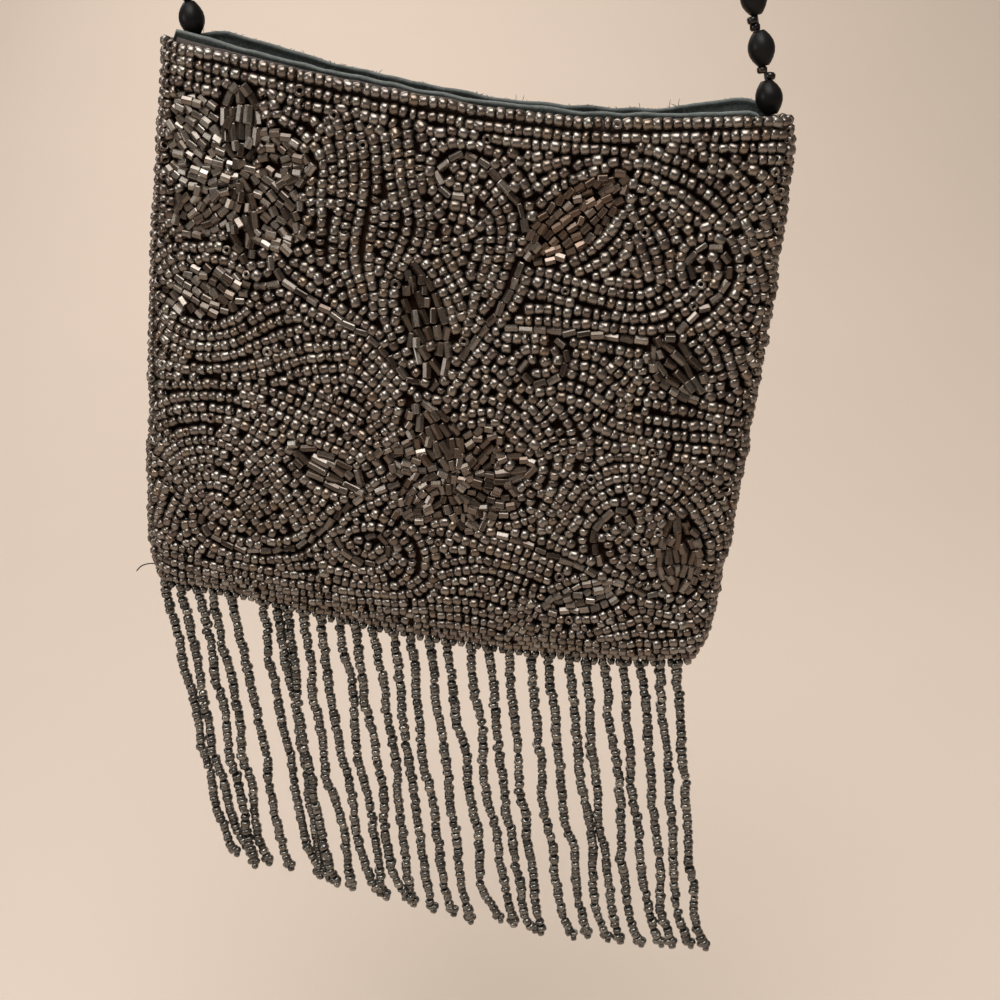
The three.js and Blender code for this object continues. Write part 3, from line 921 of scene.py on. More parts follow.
def tube_shape(line, radius):
    """Points and faces of a thread along a line in the world, drawn in at its ends."""
    heading = unit(np.gradient(line, axis=0))
    helper = np.where(np.abs(heading[:, 1:2]) < NEARLY_ALONG, [[0.0, 1.0, 0.0]], [[1.0, 0.0, 0.0]])
    side = unit(np.cross(heading, helper))
    up = np.cross(side, heading)
    angles = np.arange(THREAD_SIDES) * 2 * math.pi / THREAD_SIDES
    ring = side[:, None] * np.cos(angles)[:, None] + up[:, None] * np.sin(angles)[:, None]
    thick = np.full(len(line), radius)
    thick[[0, -1]] *= THREAD_TAPER
    points = line[:, None] + ring * thick[:, None, None]
    last = (len(line) - 1) * THREAD_SIDES
    faces = [ring_faces(len(line), THREAD_SIDES, False), THREAD_END, last + THREAD_END[:, ::-1]]
    return points.reshape(-1, 3), np.concatenate(faces)


def tubes(name, lines, radius, material):
    """One piece of several threads."""
    points, faces, count = [], [], 0
    for line in lines:
        more, corners = tube_shape(np.asarray(line, float), radius)
        points.append(more)
        faces.append(corners + count)
        count += len(more)
    return piece(name, np.concatenate(points), np.concatenate(faces), material)


class Wire:
    """One value among a material's nodes. Sums on it add Math nodes."""

    def __init__(self, finish, socket):
        self.finish = finish
        self.socket = socket

    def math(self, operation, first, second):
        """A Math node on two values."""
        return self.finish.node("ShaderNodeMath", {"operation": operation}, {0: first, 1: second})

    def __add__(self, other):
        return self.math("ADD", self, other)

    def __sub__(self, other):
        return self.math("SUBTRACT", self, other)

    def __rsub__(self, other):
        return self.math("SUBTRACT", other, self)

    def __mul__(self, other):
        return self.math("MULTIPLY", self, other)

    def __pow__(self, other):
        return self.math("POWER", self, other)


class Finish:
    """A material with one Principled shader, whose nodes are added through one method."""

    def __init__(self, name, steady):
        self.material = bpy.data.materials.new(name)
        self.material.use_nodes = True
        self.tree = self.material.node_tree
        self.shader = self.tree.nodes["Principled BSDF"]
        for socket, value in steady.items():
            self.shader.inputs[socket].default_value = value

    def node(self, kind, settings=None, sockets=None, out=0):
        """Adds a node, sets it up, joins its sockets and gives back one of its outputs."""
        made = self.tree.nodes.new(kind)
        for name, value in (settings or {}).items():
            setattr(made, name, value)
        for name, value in (sockets or {}).items():
            if isinstance(value, Wire):
                self.tree.links.new(value.socket, made.inputs[name])
            else:
                made.inputs[name].default_value = value
        return Wire(self, made.outputs[out])

    def kept(self, name):
        """A number kept on the points of the piece."""
        return self.node("ShaderNodeAttribute", {"attribute_name": name}, out="Fac")

    def place(self):
        """The place on the object, in metres."""
        return self.node("ShaderNodeTexCoord", out="Object")

    def noise(self, size, detail=2.0):
        """Soft cloudy values from 0 to 1, with patches of about that size in millimetres."""
        sockets = {"Vector": self.place(), "Scale": 1 / (size * MM), "Detail": detail}
        return self.node("ShaderNodeTexNoise", sockets=sockets)

    def threads(self, direction, size):
        """Even ridges of that width in millimetres across one axis of the object."""
        settings = {"wave_type": "BANDS", "bands_direction": direction, "wave_profile": "SIN"}
        scale = math.pi / (10 * size * MM)
        sockets = {"Vector": self.place(), "Scale": scale, "Distortion": 0.6, "Detail": 1.0}
        return self.node("ShaderNodeTexWave", settings, sockets, "Fac")

    def blend(self, share, first, second):
        """A colour between two others."""
        return self.node("ShaderNodeMix", {"data_type": "RGBA"}, {0: share, 6: first, 7: second}, 2)

    def feed(self, socket, wire):
        """Joins a value to the shader."""
        self.tree.links.new(wire.socket, self.shader.inputs[socket])

    def bump(self, height, depth, strength):
        """Raises the surface by a height from 0 to 1, given its real depth in millimetres."""
        sockets = {"Height": height, "Distance": depth * MM, "Strength": strength}
        self.feed("Normal", self.node("ShaderNodeBump", sockets=sockets))


def solid(colour):
    """A colour property as the four numbers that a socket takes."""
    return (*colour, 1.0)


def bead_finish(name, tints, steady, roughness):
    """Coated glass in tints from dark to light, warm and bloomed, in tones of each bead's own."""
    dark, light, warm, mauve = tints
    finish = Finish(name, steady)
    cloud = finish.noise(0.7)
    tone = finish.kept("tone") + (cloud - 0.5) * 0.35
    colour = finish.blend(tone, solid(dark), solid(light))
    bloom = finish.blend(finish.noise(2.4) ** 2.0 * 0.9, colour, solid(mauve))
    finish.feed("Base Color", finish.blend(finish.kept("warm"), bloom, solid(warm)))
    finish.feed("Roughness", finish.noise(0.45) * (roughness[1] - roughness[0]) + roughness[0])
    return finish.material


def gunmetal_finish(colours):
    """Seed beads of the panels."""
    tints = (colours.gunmetal_dark, colours.gunmetal, colours.bronze, colours.mauve)
    steady = {"Metallic": 0.92, "Coat Weight": 0.12, "Coat Roughness": 0.2}
    return bead_finish("gunmetal_seed_beads", tints, steady, (0.18, 0.42))


def cut_finish(colours):
    """Cut beads of the motifs, with flat, bright facets."""
    tints = (colours.cut_dark, colours.cut_grey, colours.cut_brown, colours.cut_brown)
    steady = {"Metallic": 0.85, "Coat Weight": 0.4, "Coat Roughness": 0.08}
    return bead_finish("cut_beads", tints, steady, (0.18, 0.42))


def pewter_finish(colours):
    """Seed beads of the fringe."""
    tints = (colours.pewter_dark, colours.pewter, colours.gunmetal, colours.pewter)
    steady = {"Metallic": 0.85, "Coat Weight": 0.2, "Coat Roughness": 0.15}
    return bead_finish("pewter_fringe_beads", tints, steady, (0.12, 0.36))


def strap_seed_finish(colours):
    """Small beads of the strap, black or dark gunmetal."""
    tints = (colours.black, colours.cut_dark, colours.gunmetal_dark, colours.black)
    steady = {"Metallic": 0.7, "Coat Weight": 0.3, "Coat Roughness": 0.1}
    return bead_finish("strap_seed_beads", tints, steady, (0.14, 0.36))


def black_finish(colours):
    """Satin black glass of the oval beads, a little rubbed and dusty."""
    finish = Finish("black_oval_beads", {"Specular IOR Level": 0.12})
    dust = finish.noise(1.4, 4.0)
    grey = tuple(min(1, 2.6 * value) for value in colours.black)
    finish.feed("Base Color", finish.blend(dust * finish.kept("tone"), solid(colours.black), solid(grey)))
    finish.feed("Roughness", dust * 0.2 + 0.26)
    finish.bump(finish.noise(0.9, 3.0), 0.06, 0.3)
    return finish.material


def ground_finish(colours):
    """Cloth under the beads, darkened as painted shade between the beads, and paler along its folded top
    edge.
    """
    finish = Finish("ground_cloth", {"Roughness": 0.95, "Specular IOR Level": 0.1})
    weave = finish.threads("X", 0.3) * finish.threads("Z", 0.3)
    # painted shade under the beads, paler along the folded edge
    shade = finish.blend(finish.kept("edge"), solid(colours.ground_in_shade), solid(colours.ground_edge))
    finish.feed("Base Color", finish.blend(weave * 0.4, shade, (0, 0, 0, 1)))
    finish.bump(weave, 0.08, 0.6)
    return finish.material


def lining_finish(colours):
    """Grey-green lining cloth: a fine weave, mottled at random, with a painted highlight on the hem fold
    along the rim.
    """
    finish = Finish("lining_cloth", {"Sheen Weight": 0.03, "Sheen Roughness": 0.5, "Specular IOR Level": 0.2})
    weave = finish.threads("X", 0.16) * 0.5 + finish.threads("Z", 0.16) * 0.5
    # painted highlight along the rim, in patches, plus random mottling of the cloth's own colour
    highlight_and_mottle = finish.kept("rim_highlight") * (finish.noise(2.5, 3.0) + 0.3) + (finish.noise(0.5, 4.0) - 0.42) * 0.6
    shade = finish.blend(highlight_and_mottle, solid(colours.lining), solid(colours.lining_lit_fold))
    finish.feed("Base Color", finish.blend(weave * 0.35, shade, (0.012, 0.014, 0.014, 1)))
    finish.feed("Roughness", 0.95 - highlight_and_mottle * 0.2)
    finish.bump(weave * 0.4 + finish.noise(0.5, 4.0), 0.16, 0.8)
    return finish.material


def thread_finish(colours):
    """Twisted beading thread."""
    finish = Finish("beading_thread", {"Sheen Weight": 0.3})
    ply = finish.threads("DIAGONAL", 0.2)
    finish.feed("Base Color", finish.blend(ply * 0.5, solid(colours.thread), (0.004, 0.004, 0.004, 1)))
    finish.feed("Roughness", ply * 0.2 + 0.6)
    return finish.material


def floor_finish(colours):
    """Pale studio floor with a barely uneven tone."""
    finish = Finish("studio_floor", {"Roughness": 0.85})
    dusty = tuple(0.96 * value for value in colours.floor)
    finish.feed("Base Color", finish.blend(finish.noise(180, 3.0), solid(dusty), solid(colours.floor)))
    return finish.material


@lru_cache(maxsize=None)
def shared(finish):
    """The material that a finish makes, made once."""
    return finish(bpy.context.scene.bag_colours)


# Looks of groups of beads: mean tone, its spread, and the share of warm beads
PANEL_TONES = (0.53, 0.32, 0.1)
STITCH_TONES = (0.45, 0.22, 0.08)
STRAND_TONES = (0.4, 0.28, 0.1)
SEAM_TONES = (0.4, 0.22, 0.1)
CUT_TONES = (0.05, 0.32)  # mean and spread of what is added to a leaf's tone
CUT_WARMTHS = (0.3, 1.1)  # least and most share of a leaf's brown
# Shares of a bead's size: mean and spread
THREAD_LENGTHS = (1, 0.07)
STITCH_WIDTHS = (0.88, 0.06)
SEAM_WIDTHS = (0.96, 0.04)
STRAND_LENGTHS = (1.0, 0.1)
STRAND_WIDTHS = (0.97, 0.07)
CUT_LENGTHS = (1, 0.09)
CUT_WIDTHS = (1.08, 0.06)
CUT_SINKS = (0.1, 0.7)  # least and most that a cut bead is drawn into the cloth, besides half its width
# Shares of a seed bead's width and length: mean, spread, least and most
SEED_WIDTHS = (0.99, 0.075, 0.82, 1.16)
SEED_LENGTHS = (1.03, 0.16, 0.65, 1.4)
SEED_SINKS = (0.1, 0.16)  # mean and spread of how far a seed bead is drawn into the cloth
SEED_STAND = 0.8  # share of its radius that a seed bead keeps off the plane between the panels
END_ON = 0.015  # this share of the seed beads shows its hole
# Least and most warmth of warm beads and of the others
WARM = (0.4, 0.9)
HARDLY_WARM = (0, 0.35)
BORDER_PLACES = np.arange(-60, 60.1, 0.5)  # places across that a line along an edge may have


def varied(count, rng, middle, spread, least, most):
    """Random shares of a size, kept between the least and the most."""
    return np.clip(rng.normal(middle, spread, count), least, most)


def warmths(count, rng, share, warm, others):
    """Random warmths, where a share of the beads is warm."""
    return np.where(rng.random(count) < share, rng.uniform(*warm, count), rng.uniform(*others, count))


def toned(count, rng, middle, spread, warm_share):
    """Random tones and warmths for that many beads."""
    tone = np.clip(rng.normal(middle, spread, count), 0, 1)
    return tone, warmths(count, rng, warm_share, WARM, HARDLY_WARM)


def seeds_on(cloth, laid, sizes, rng):
    """Seed beads stood on a wall at laid places."""
    laid = np.array(laid)
    count = len(laid)
    width = sizes.seed_diameter * varied(count, rng, *SEED_WIDTHS)
    length = sizes.seed_length * varied(count, rng, *SEED_LENGTHS)
    half = width / MM / 2
    across, up = laid[:, 0], laid[:, 1]
    depth = cloth.read(cloth.outer, across, up)
    sink = np.minimum(half, depth - half * SEED_STAND) + rng.normal(*SEED_SINKS, count)
    centre, thread, out = cloth.stand(across, up, laid[:, 2:4], sink)
    loose = rng.random((count, 1)) < END_ON
    thread, out = np.where(loose, out, thread), np.where(loose, -thread, out)
    tone, warm = toned(count, rng, *PANEL_TONES)
    return rocked(Beads(centre, thread, out, length, width, tone, warm), rng, "seed")


def border_line(cloth, limit, rise, inset):
    """A line along the top or bottom edge of a wall, moved up by rise."""
    up = np.interp(BORDER_PLACES, Wall.ACROSS, limit) + rise
    left, right = cloth.sides(up, inset)
    kept = (BORDER_PLACES > left) & (BORDER_PLACES < right)
    return np.stack([BORDER_PLACES[kept], up[kept]], -1)


THREAD_PLAY = 0.05  # between neighbours on a thread, and a little less on the front
FRONT_PLAY = 0.04
SIDE_MARGIN = 2.6  # the stitches over the side seams start this far in
ROW_OVERLAP = 0.4  # the rows run on this far under the stitches
TOP_ROWS = (-1.35, -3.6)
TOP_INSET = 2.0  # those rows stop this far from the side seams
BOTTOM_ROW = 1.1
BOTTOM_INSET = 1.2
# How strongly lines turn the rows around them
MOTIF_PULL = 1.0
FLOW_PULL = 0.8
BORDER_PULL = 0.4
LEAF_MARGIN = 0.6  # the rows turn along a line this far outside a leaf
# A second, sparse layer of short cut beads on the leaves: sideways scatter, paler tone, crowding and lift
UPPER_SCATTER = 0.5
UPPER_TONE = 0.2
UPPER_CROWD = 0.02
UPPER_LIFT = 0.5
STEM_TONE = 0.25
STEM_BROWN = 0.3
# The ground cloth: rows and columns of its net, inset, and its faces as shares of the wall's thickness
CLOTH_NET = (40, 48)
CLOTH_INSET = 0.4
CLOTH_FACES = (0.3, 0.06)
CLOTH_WIDTH = 0.983  # its share of the width, so that the stitches cover its sides
EDGE_DROP = 0.8  # it ends this far under the mouth, but rises to it at the left
EDGE_START = -5.0  # from here that drop grows to the right, over this run, and fades this far down
EDGE_RUN = 30.0
EDGE_DEPTH = 3.0
EDGE_BAND = 1.6  # height of its paler folded edge; below it the cloth takes the darker painted shade colour
SEAM_ROUND = 5.0  # the right side seam rounds in over this height at its top, by this much
SEAM_TUCK = 2.0
TUCK_START = 40.0  # and the cloth follows it from here, over this run
TUCK_RUN = 13.0
# A loose end of thread at the lower left corner
LOOSE_THREAD = ((-52.5, -45.6), (-54.6, -45.8), (-56.3, -46.6), (-57.3, -47.9))
LOOSE_RADIUS = 0.13


def room_of(cloth):
    """A test of how far a cloth place lies inside the stretch that rows of seed beads fill."""
    left = cloth.left + SIDE_MARGIN - ROW_OVERLAP
    right = cloth.right - SIDE_MARGIN + ROW_OVERLAP
    bottom = cloth.bottom + BOTTOM_ROW
    top = cloth.top + TOP_ROWS[-1]
    low, step = (Wall.ACROSS[0], Wall.UP[0]), Wall.STEP

    def room(across, up):
        row = min(max(int((up - low[1]) / step + 0.5), 0), len(left) - 1)
        column = min(max(int((across - low[0]) / step + 0.5), 0), len(top) - 1)
        return min(across - left[row], right[row] - across, up - bottom[column], top[column] - up)

    return room


def border_lines(cloth):
    """The rows along the mouth, and the row along the bottom seam."""
    rows = [border_line(cloth, cloth.top, rise, TOP_INSET) for rise in TOP_ROWS]
    return [*rows, border_line(cloth, cloth.bottom, BOTTOM_ROW, BOTTOM_INSET)]


def front_layout(cloth, sizes, rng):
    """The front's pattern: motifs of cut beads, and rows of seed beads that flow round them."""
    pitch, row_pitch = sizes.seed_length / MM + FRONT_PLAY, sizes.row_pitch / MM
    stems = [smooth_line(points) for points in STEMS]
    flows = [smooth_line(points) for points in FLOWS]
    outlines = [edge for leaf in LEAVES for edge in leaf_outline(leaf, LEAF_MARGIN)]
    borders = border_lines(cloth)
    guides = [(line, MOTIF_PULL) for line in stems + outlines]
    guides += [(line, FLOW_PULL) for line in flows] + [(line, BORDER_PULL) for line in borders]
    layout = BeadLayout(room_of(cloth), RowField(guides), pitch, row_pitch, rng)
    for line in borders:
        layout.lay_line(line)
    fixed = len(layout.seeds)
    for leaf in LEAVES:
        for line in leaf_rows(leaf):
            layout.lay_cuts(line, leaf.bead, leaf.tone, leaf.brown)
    for leaf in LEAVES:
        for line in leaf_rows(leaf):
            moved = line + rng.normal(0, UPPER_SCATTER, 2)
            layout.lay_cuts(moved, "cut", leaf.tone + UPPER_TONE, leaf.brown, UPPER_CROWD, UPPER_LIFT)
    for line in stems:
        layout.lay_cuts(line, "stem", STEM_TONE, STEM_BROWN)
    starts = []
    beside = row_pitch / 2 + CUTS["stem"].width / 2
    for line in stems:
        for side in (beside, -beside):
            starts += [tuple(at + side * np.array([-way[1], way[0]])) for at, way in zip(*along(line, pitch))]
    for leaf in LEAVES:
        for line in leaf_outline(leaf, row_pitch / 2):
            starts += [tuple(at) for at in along(line, pitch)[0]]
    for line in flows:
        starts += [tuple(at) for at in along(line, pitch)[0]]
    for line in borders:
        starts += [tuple(at) for at in along(line + (0, -row_pitch), pitch)[0]]
    layout.fill(starts)
    layout.settle(fixed)
    return layout


def back_layout(cloth, sizes, rng):
    """The back's plain rows, which follow the mouth and the bottom seam."""
    pitch, row_pitch = sizes.seed_length / MM + THREAD_PLAY, sizes.row_pitch / MM
    borders = border_lines(cloth)
    field = RowField([(line, MOTIF_PULL) for line in borders])
    layout = BeadLayout(room_of(cloth), field, pitch, row_pitch, rng)
    for line in borders:
        layout.lay_line(line)
    fixed = len(layout.seeds)
    layout.fill([tuple(at) for at in along(borders[1] + (0, -row_pitch), pitch)[0]])
    layout.settle(fixed)
    return layout


class BAG_OT_ground_cloth(bpy.types.Operator):
    """Makes the two cloths that the beads are sewn to"""

    bl_idname = "bag.ground_cloth"
    bl_label = "Ground cloth"

    def execute(self, context):
        for name, node, side in (("front_cloth", "front_panel", FRONT), ("back_cloth", "back_panel", BACK)):
            cloth = wall(node, side)
            across, up = cloth.grid(*CLOTH_NET, CLOTH_INSET)
            inner = cloth.read(cloth.inner, across, up)
            thick = cloth.read(cloth.outer, across, up) - inner
            drop = np.interp(across, Wall.ACROSS, cloth.top) - up
            sunk = EDGE_DROP * ramp(across, EDGE_START, EDGE_RUN) * fade(drop, EDGE_DEPTH)
            tuck = ramp(across, TUCK_START, TUCK_RUN) * fade(drop, SEAM_ROUND) ** 2
            across = across * CLOTH_WIDTH - SEAM_TUCK * tuck
            layers = [
                to_world(np.stack([across, side * (inner + thick * share), up - sunk], -1))
                for share in CLOTH_FACES
            ]
            points, faces = sheet_shape(*layers[::-side])
            made = piece(name, points, faces, shared(ground_finish))
            # the paler folded edge; below it the cloth takes the painted shade colour
            mark(made, "edge", np.tile(np.clip(EDGE_BAND - drop, 0, 1).ravel(), 2))
            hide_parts(node)
        return {"FINISHED"}


class BAG_OT_front_beads(bpy.types.Operator):
    """Sews the front: leaves, stems and scrolls of cut beads in flowing rows of seed beads"""

    bl_idname = "bag.front_beads"
    bl_label = "Front beads"

    def execute(self, context):
        sizes = context.scene.bag_sizes
        rng = np.random.default_rng(DRAWS["front"])
        cloth = wall("front_panel", FRONT)
        layout = front_layout(cloth, sizes, rng)
        seeds = seeds_on(cloth, layout.seeds, sizes, rng)
        right = np.array(layout.seeds)[:, 0] > 0
        for name, kept in (("front_seeds_left", ~right), ("front_seeds_right", right)):
            made = bead_piece(
                name, seeds.part(kept), SEED_SECTION, SEED_SIDES, shared(gunmetal_finish)
            )
            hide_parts("front_panel")
        self.sew_cuts(cloth, np.array(layout.cuts), rng)
        return {"FINISHED"}

    @staticmethod
    def sew_cuts(cloth, laid, rng):
        """Makes the cut beads of the motifs."""
        count = len(laid)
        across, up, way_across, way_up, length, width, tone, brown, lift = laid.T
        sink = width / 2 + rng.uniform(*CUT_SINKS, count) - lift
        centre, thread, out = cloth.stand(across, up, np.stack([way_across, way_up], -1), sink)
        tone = np.clip(tone + rng.normal(*CUT_TONES, count), 0, 1)
        warm = np.clip(brown * rng.uniform(*CUT_WARMTHS, count), 0, 1)
        length = length * MM * rng.normal(*CUT_LENGTHS, count)
        width = width * MM * rng.normal(*CUT_WIDTHS, count)
        beads = rocked(Beads(centre, thread, out, length, width, tone, warm), rng, "cut")
        finish = shared(cut_finish)
        bead_piece("front_cut_beads", beads, CUT_SECTION, CUT_SIDES, finish, CUT_BEVEL)


class BAG_OT_back_beads(bpy.types.Operator):
    """Sews the back in plain rows of seed beads"""

    bl_idname = "bag.back_beads"
    bl_label = "Back beads"

    def execute(self, context):
        sizes = context.scene.bag_sizes
        rng = np.random.default_rng(DRAWS["back"])
        cloth = wall("back_panel", BACK)
        layout = back_layout(cloth, sizes, rng)
        seeds = seeds_on(cloth, layout.seeds, sizes, rng)
        right = np.array(layout.seeds)[:, 0] > 0
        for name, kept in (("back_seeds_left", ~right), ("back_seeds_right", right)):
            made = bead_piece(
                name, seeds.part(kept), PLAIN_SECTION, PLAIN_SIDES, shared(gunmetal_finish)
            )
            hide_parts("back_panel")
        return {"FINISHED"}


SEAM_AT = 50.0  # the ends of a side seam are read this far across
SEAM_ENDS = (1.2, -1.1)  # its first and last stitch stand this far up from those ends
STITCH_PITCH = 0.86  # from stitch to stitch, in row pitches
STITCH_TURN = 1.45  # each one turns this far to the front and to the back, in radians
STITCH_GAP = 0.25  # from the stitches out to the edge of the seam
LEAST_DEEP = 1.2  # least reach of a stitch to the front and to the back
# Spreads of a stitch's width and of its beads' heights and lean, and where its first bead may stand
WIDE_SPREAD = 0.12
HEIGHT_SPREAD = 0.18
LEAN_SPREAD = 0.06
FIRST_BEAD = (0.1, 0.7)


class BAG_OT_side_stitches(bpy.types.Operator):
    """Wraps the side seams in short stitches of seed beads"""

    bl_idname = "bag.side_stitches"
    bl_label = "Side stitches"

    def execute(self, context):
        sizes = context.scene.bag_sizes
        rng = np.random.default_rng(DRAWS["stitches"])
        for name, outward, tuck in (("left_seam_beads", -1, 0), ("right_seam_beads", 1, SEAM_TUCK)):
            heights = self.heights(outward, sizes)
            tucks = tuck * fade(heights[-1] - heights, SEAM_ROUND) ** 2
            stitches = [self.stitch(*each, outward, sizes, rng) for each in zip(heights, tucks)]
            beads = rocked(gathered(stitches), rng, "stitch")
            bead_piece(name, beads, PLAIN_SECTION, PLAIN_SIDES, shared(gunmetal_finish))
        tail = to_world(smooth_line([(across, 0, up) for across, up in LOOSE_THREAD]))
        tubes("loose_thread", [tail], LOOSE_RADIUS * MM, shared(thread_finish))
        return {"FINISHED"}

    @staticmethod
    def heights(outward, sizes):
        """Heights of the stitches along one side seam."""
        front = wall("front_panel", FRONT)
        limits = (front.bottom + SEAM_ENDS[0], front.top + SEAM_ENDS[1])
        low, high = (np.interp(outward * SEAM_AT, Wall.ACROSS, limit) for limit in limits)
        return np.linspace(low, high, round((high - low) / (sizes.row_pitch / MM * STITCH_PITCH)) + 1)

    @staticmethod
    def stitch(up, tuck, outward, sizes, rng):
        """Beads of one stitch, from the front over the seam to the back."""
        front, back = wall("front_panel", FRONT), wall("back_panel", BACK)
        root = float(front.sides(up, SIDE_MARGIN)[outward > 0])
        at = (np.array([root]), np.array([up]))
        depths = [float(front.read(front.outer, *at)[0]), float(back.read(back.outer, *at)[0])]
        radius = sizes.seed_diameter / MM / 2
        middle, deep = (depths[1] - depths[0]) / 2, max(LEAST_DEEP, sum(depths) / 2 - radius)
        wide = SIDE_MARGIN - radius - STITCH_GAP - tuck + rng.normal(0, WIDE_SPREAD)
        turn = np.linspace(-STITCH_TURN, STITCH_TURN, 80)
        line = np.stack([root + outward * wide * np.cos(turn), middle + deep * np.sin(turn)], -1)
        at, way = along(line, sizes.seed_length / MM + THREAD_PLAY, rng.uniform(*FIRST_BEAD))
        count = len(at)
        height = up + rng.normal(0, HEIGHT_SPREAD, count)
        centre = to_world(np.stack([at[:, 0], at[:, 1], height], -1))
        thread = turned(np.stack([way[:, 0], way[:, 1], rng.normal(0, LEAN_SPREAD, count)], -1))
        aside, rearward = outward * np.abs(way[:, 1]), -way[:, 0] * outward * np.sign(way[:, 1])
        out = turned(np.stack([aside, rearward, 0 * height], -1))
        tone, warm = toned(count, rng, *STITCH_TONES)
        length = sizes.seed_length * rng.normal(*THREAD_LENGTHS, count)
        width = sizes.seed_diameter * rng.normal(*STITCH_WIDTHS, count)
        return Beads(centre, unit(thread), unit(out), length, width, tone, warm)


# The lining: rows and columns of its net, inset, how its rows crowd at the rim, and gap to the solid's faces
LINING_NET = (50, 96)
LINING_INSET = 0.1
LINING_CROWD = 2.0
LINING_GAP = 0.15
RIM_DIP = 2.4  # its rim dips this far at the right corner, behind the strap, and the dip fades this far down
DIP_DEPTH = 8.0
DIP_START = 45.5
DIP_LATER = 2.0  # and it starts this much later on the back
DIP_RUN = 3.5
# Ripples run along the rim: their lengths, depth and rise with the drops over which they fade
RIPPLES = (4.1, 2.3, 1.3)
RIPPLE_DEPTH = 0.18
RIPPLE_FADE = 4.0
RIPPLE_RISE = 0.2
RISE_FADE = 2.0
# Deeper down the cloth sways a little, in full from this drop on
SWAY_DEPTH = 0.1
SWAY_FROM = 12.0
# The hem stands off the cloth by this much, with a roll along the rim
HEM_STAND = 0.3
ROLL_STAND = 0.2
ROLL_AT = 0.35
RIM_HIGHLIGHT = 0.8  # most strength of the painted highlight on the hem fold, which ends this far under the rim
RIM_HIGHLIGHT_DROP = 0.6
# Frayed ends: count along one rim, thickness, how often one is long, and heights of long and short ones
HAIRS = 260
HAIR_RADIUS = 0.045
HAIR_LONG_EVERY = 30
HAIR_LONG = (0.9, 1.6)
HAIR_SHORT = (0.2, 0.5)
HAIR_LEAN = 0.4
HAIR_BEND = 0.8
HAIR_SINK = 0.3
HAIR_ENDS = 4  # none stands on so many first and last columns


class BAG_OT_lining(bpy.types.Operator):
    """Makes the two sides of the lining, with a folded hem at the mouth and a few frayed ends"""

    bl_idname = "bag.lining"
    bl_label = "Lining"

    def execute(self, context):
        hem = context.scene.bag_sizes.hem_height / MM
        rng = np.random.default_rng(DRAWS["lining"])
        frayed = []
        for name, side in (("lining_front", FRONT), ("lining_back", BACK)):
            made, rim = self.cloth_side(name, side, hem, rng)
            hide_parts("lining")
            frayed += self.hairs(rim, rng)
        tubes("lining_frayed_ends", frayed, HAIR_RADIUS * MM, shared(thread_finish))
        return {"FINISHED"}

    @staticmethod
    def cloth_side(name, side, hem, rng):
        """One side of the lining, and its rim in cloth millimetres."""
        cloth = wall("lining", side)
        across, up = cloth.grid(*LINING_NET, LINING_INSET, LINING_CROWD)
        drop = np.interp(across, Wall.ACROSS, cloth.top) - up
        start = DIP_START + (DIP_LATER if side == BACK else 0)
        share = ramp(across, start, DIP_RUN)
        up = up - RIM_DIP * share**2 * (3 - 2 * share) * fade(drop, DIP_DEPTH)
        outer, inner = cloth.read(cloth.outer, across, up), cloth.read(cloth.inner, across, up)
        wave = rng.uniform(0, 2 * math.pi, len(RIPPLES))
        ripple = sum(np.sin(across / size + phase) for size, phase in zip(RIPPLES, wave)) / len(RIPPLES)
        sway = ripple * (RIPPLE_DEPTH * np.exp(-drop / RIPPLE_FADE) + SWAY_DEPTH * ramp(drop, 0, SWAY_FROM))
        high = up + ripple * RIPPLE_RISE * np.exp(-drop / RISE_FADE)
        fold = np.where(drop < hem, np.sqrt(np.clip(np.sin(math.pi * drop / hem), 0, 1)), 0)
        roll = ROLL_STAND * np.exp(-(((drop - ROLL_AT) / ROLL_AT) ** 2))
        layers = []
        for depth, way in ((outer - LINING_GAP, 1), (inner + LINING_GAP, -1)):
            raised = depth + way * (HEM_STAND * fold + roll) + sway
            layers.append(to_world(np.stack([across, side * raised, high], -1)))
        points, faces = sheet_shape(*layers[::-side])
        made = piece(name, points, faces, shared(lining_finish))
        # painted highlight on the top of the hem fold, fading below it
        rim_highlight = np.exp(-((drop / RIM_HIGHLIGHT_DROP) ** 4)) * RIM_HIGHLIGHT
        mark(made, "rim_highlight", np.tile(rim_highlight.ravel(), 2))
        middle = side * (outer[-1] + inner[-1]) / 2
        return made, np.stack([across[-1], middle, up[-1]], -1)

    @staticmethod
    def hairs(rim, rng):
        """Frayed ends that stand up from the rim, most of them very short."""
        lines = []
        for number, root in enumerate(rim[rng.integers(HAIR_ENDS, len(rim) - HAIR_ENDS, HAIRS)]):
            tall = rng.uniform(*(HAIR_SHORT if number % HAIR_LONG_EVERY else HAIR_LONG))
            lean = rng.normal(0, HAIR_LEAN, 2)
            share = np.linspace(0, 1, 4)[:, None]
            bend = np.array([[HAIR_BEND, 0, 0]]) * lean[1] * share**2
            reach = np.array([[lean[0], lean[1], tall]]) * share + bend
            lines.append(to_world(root + reach - (rng.uniform(-0.5, 0.5), 0, HAIR_SINK)))
        return lines


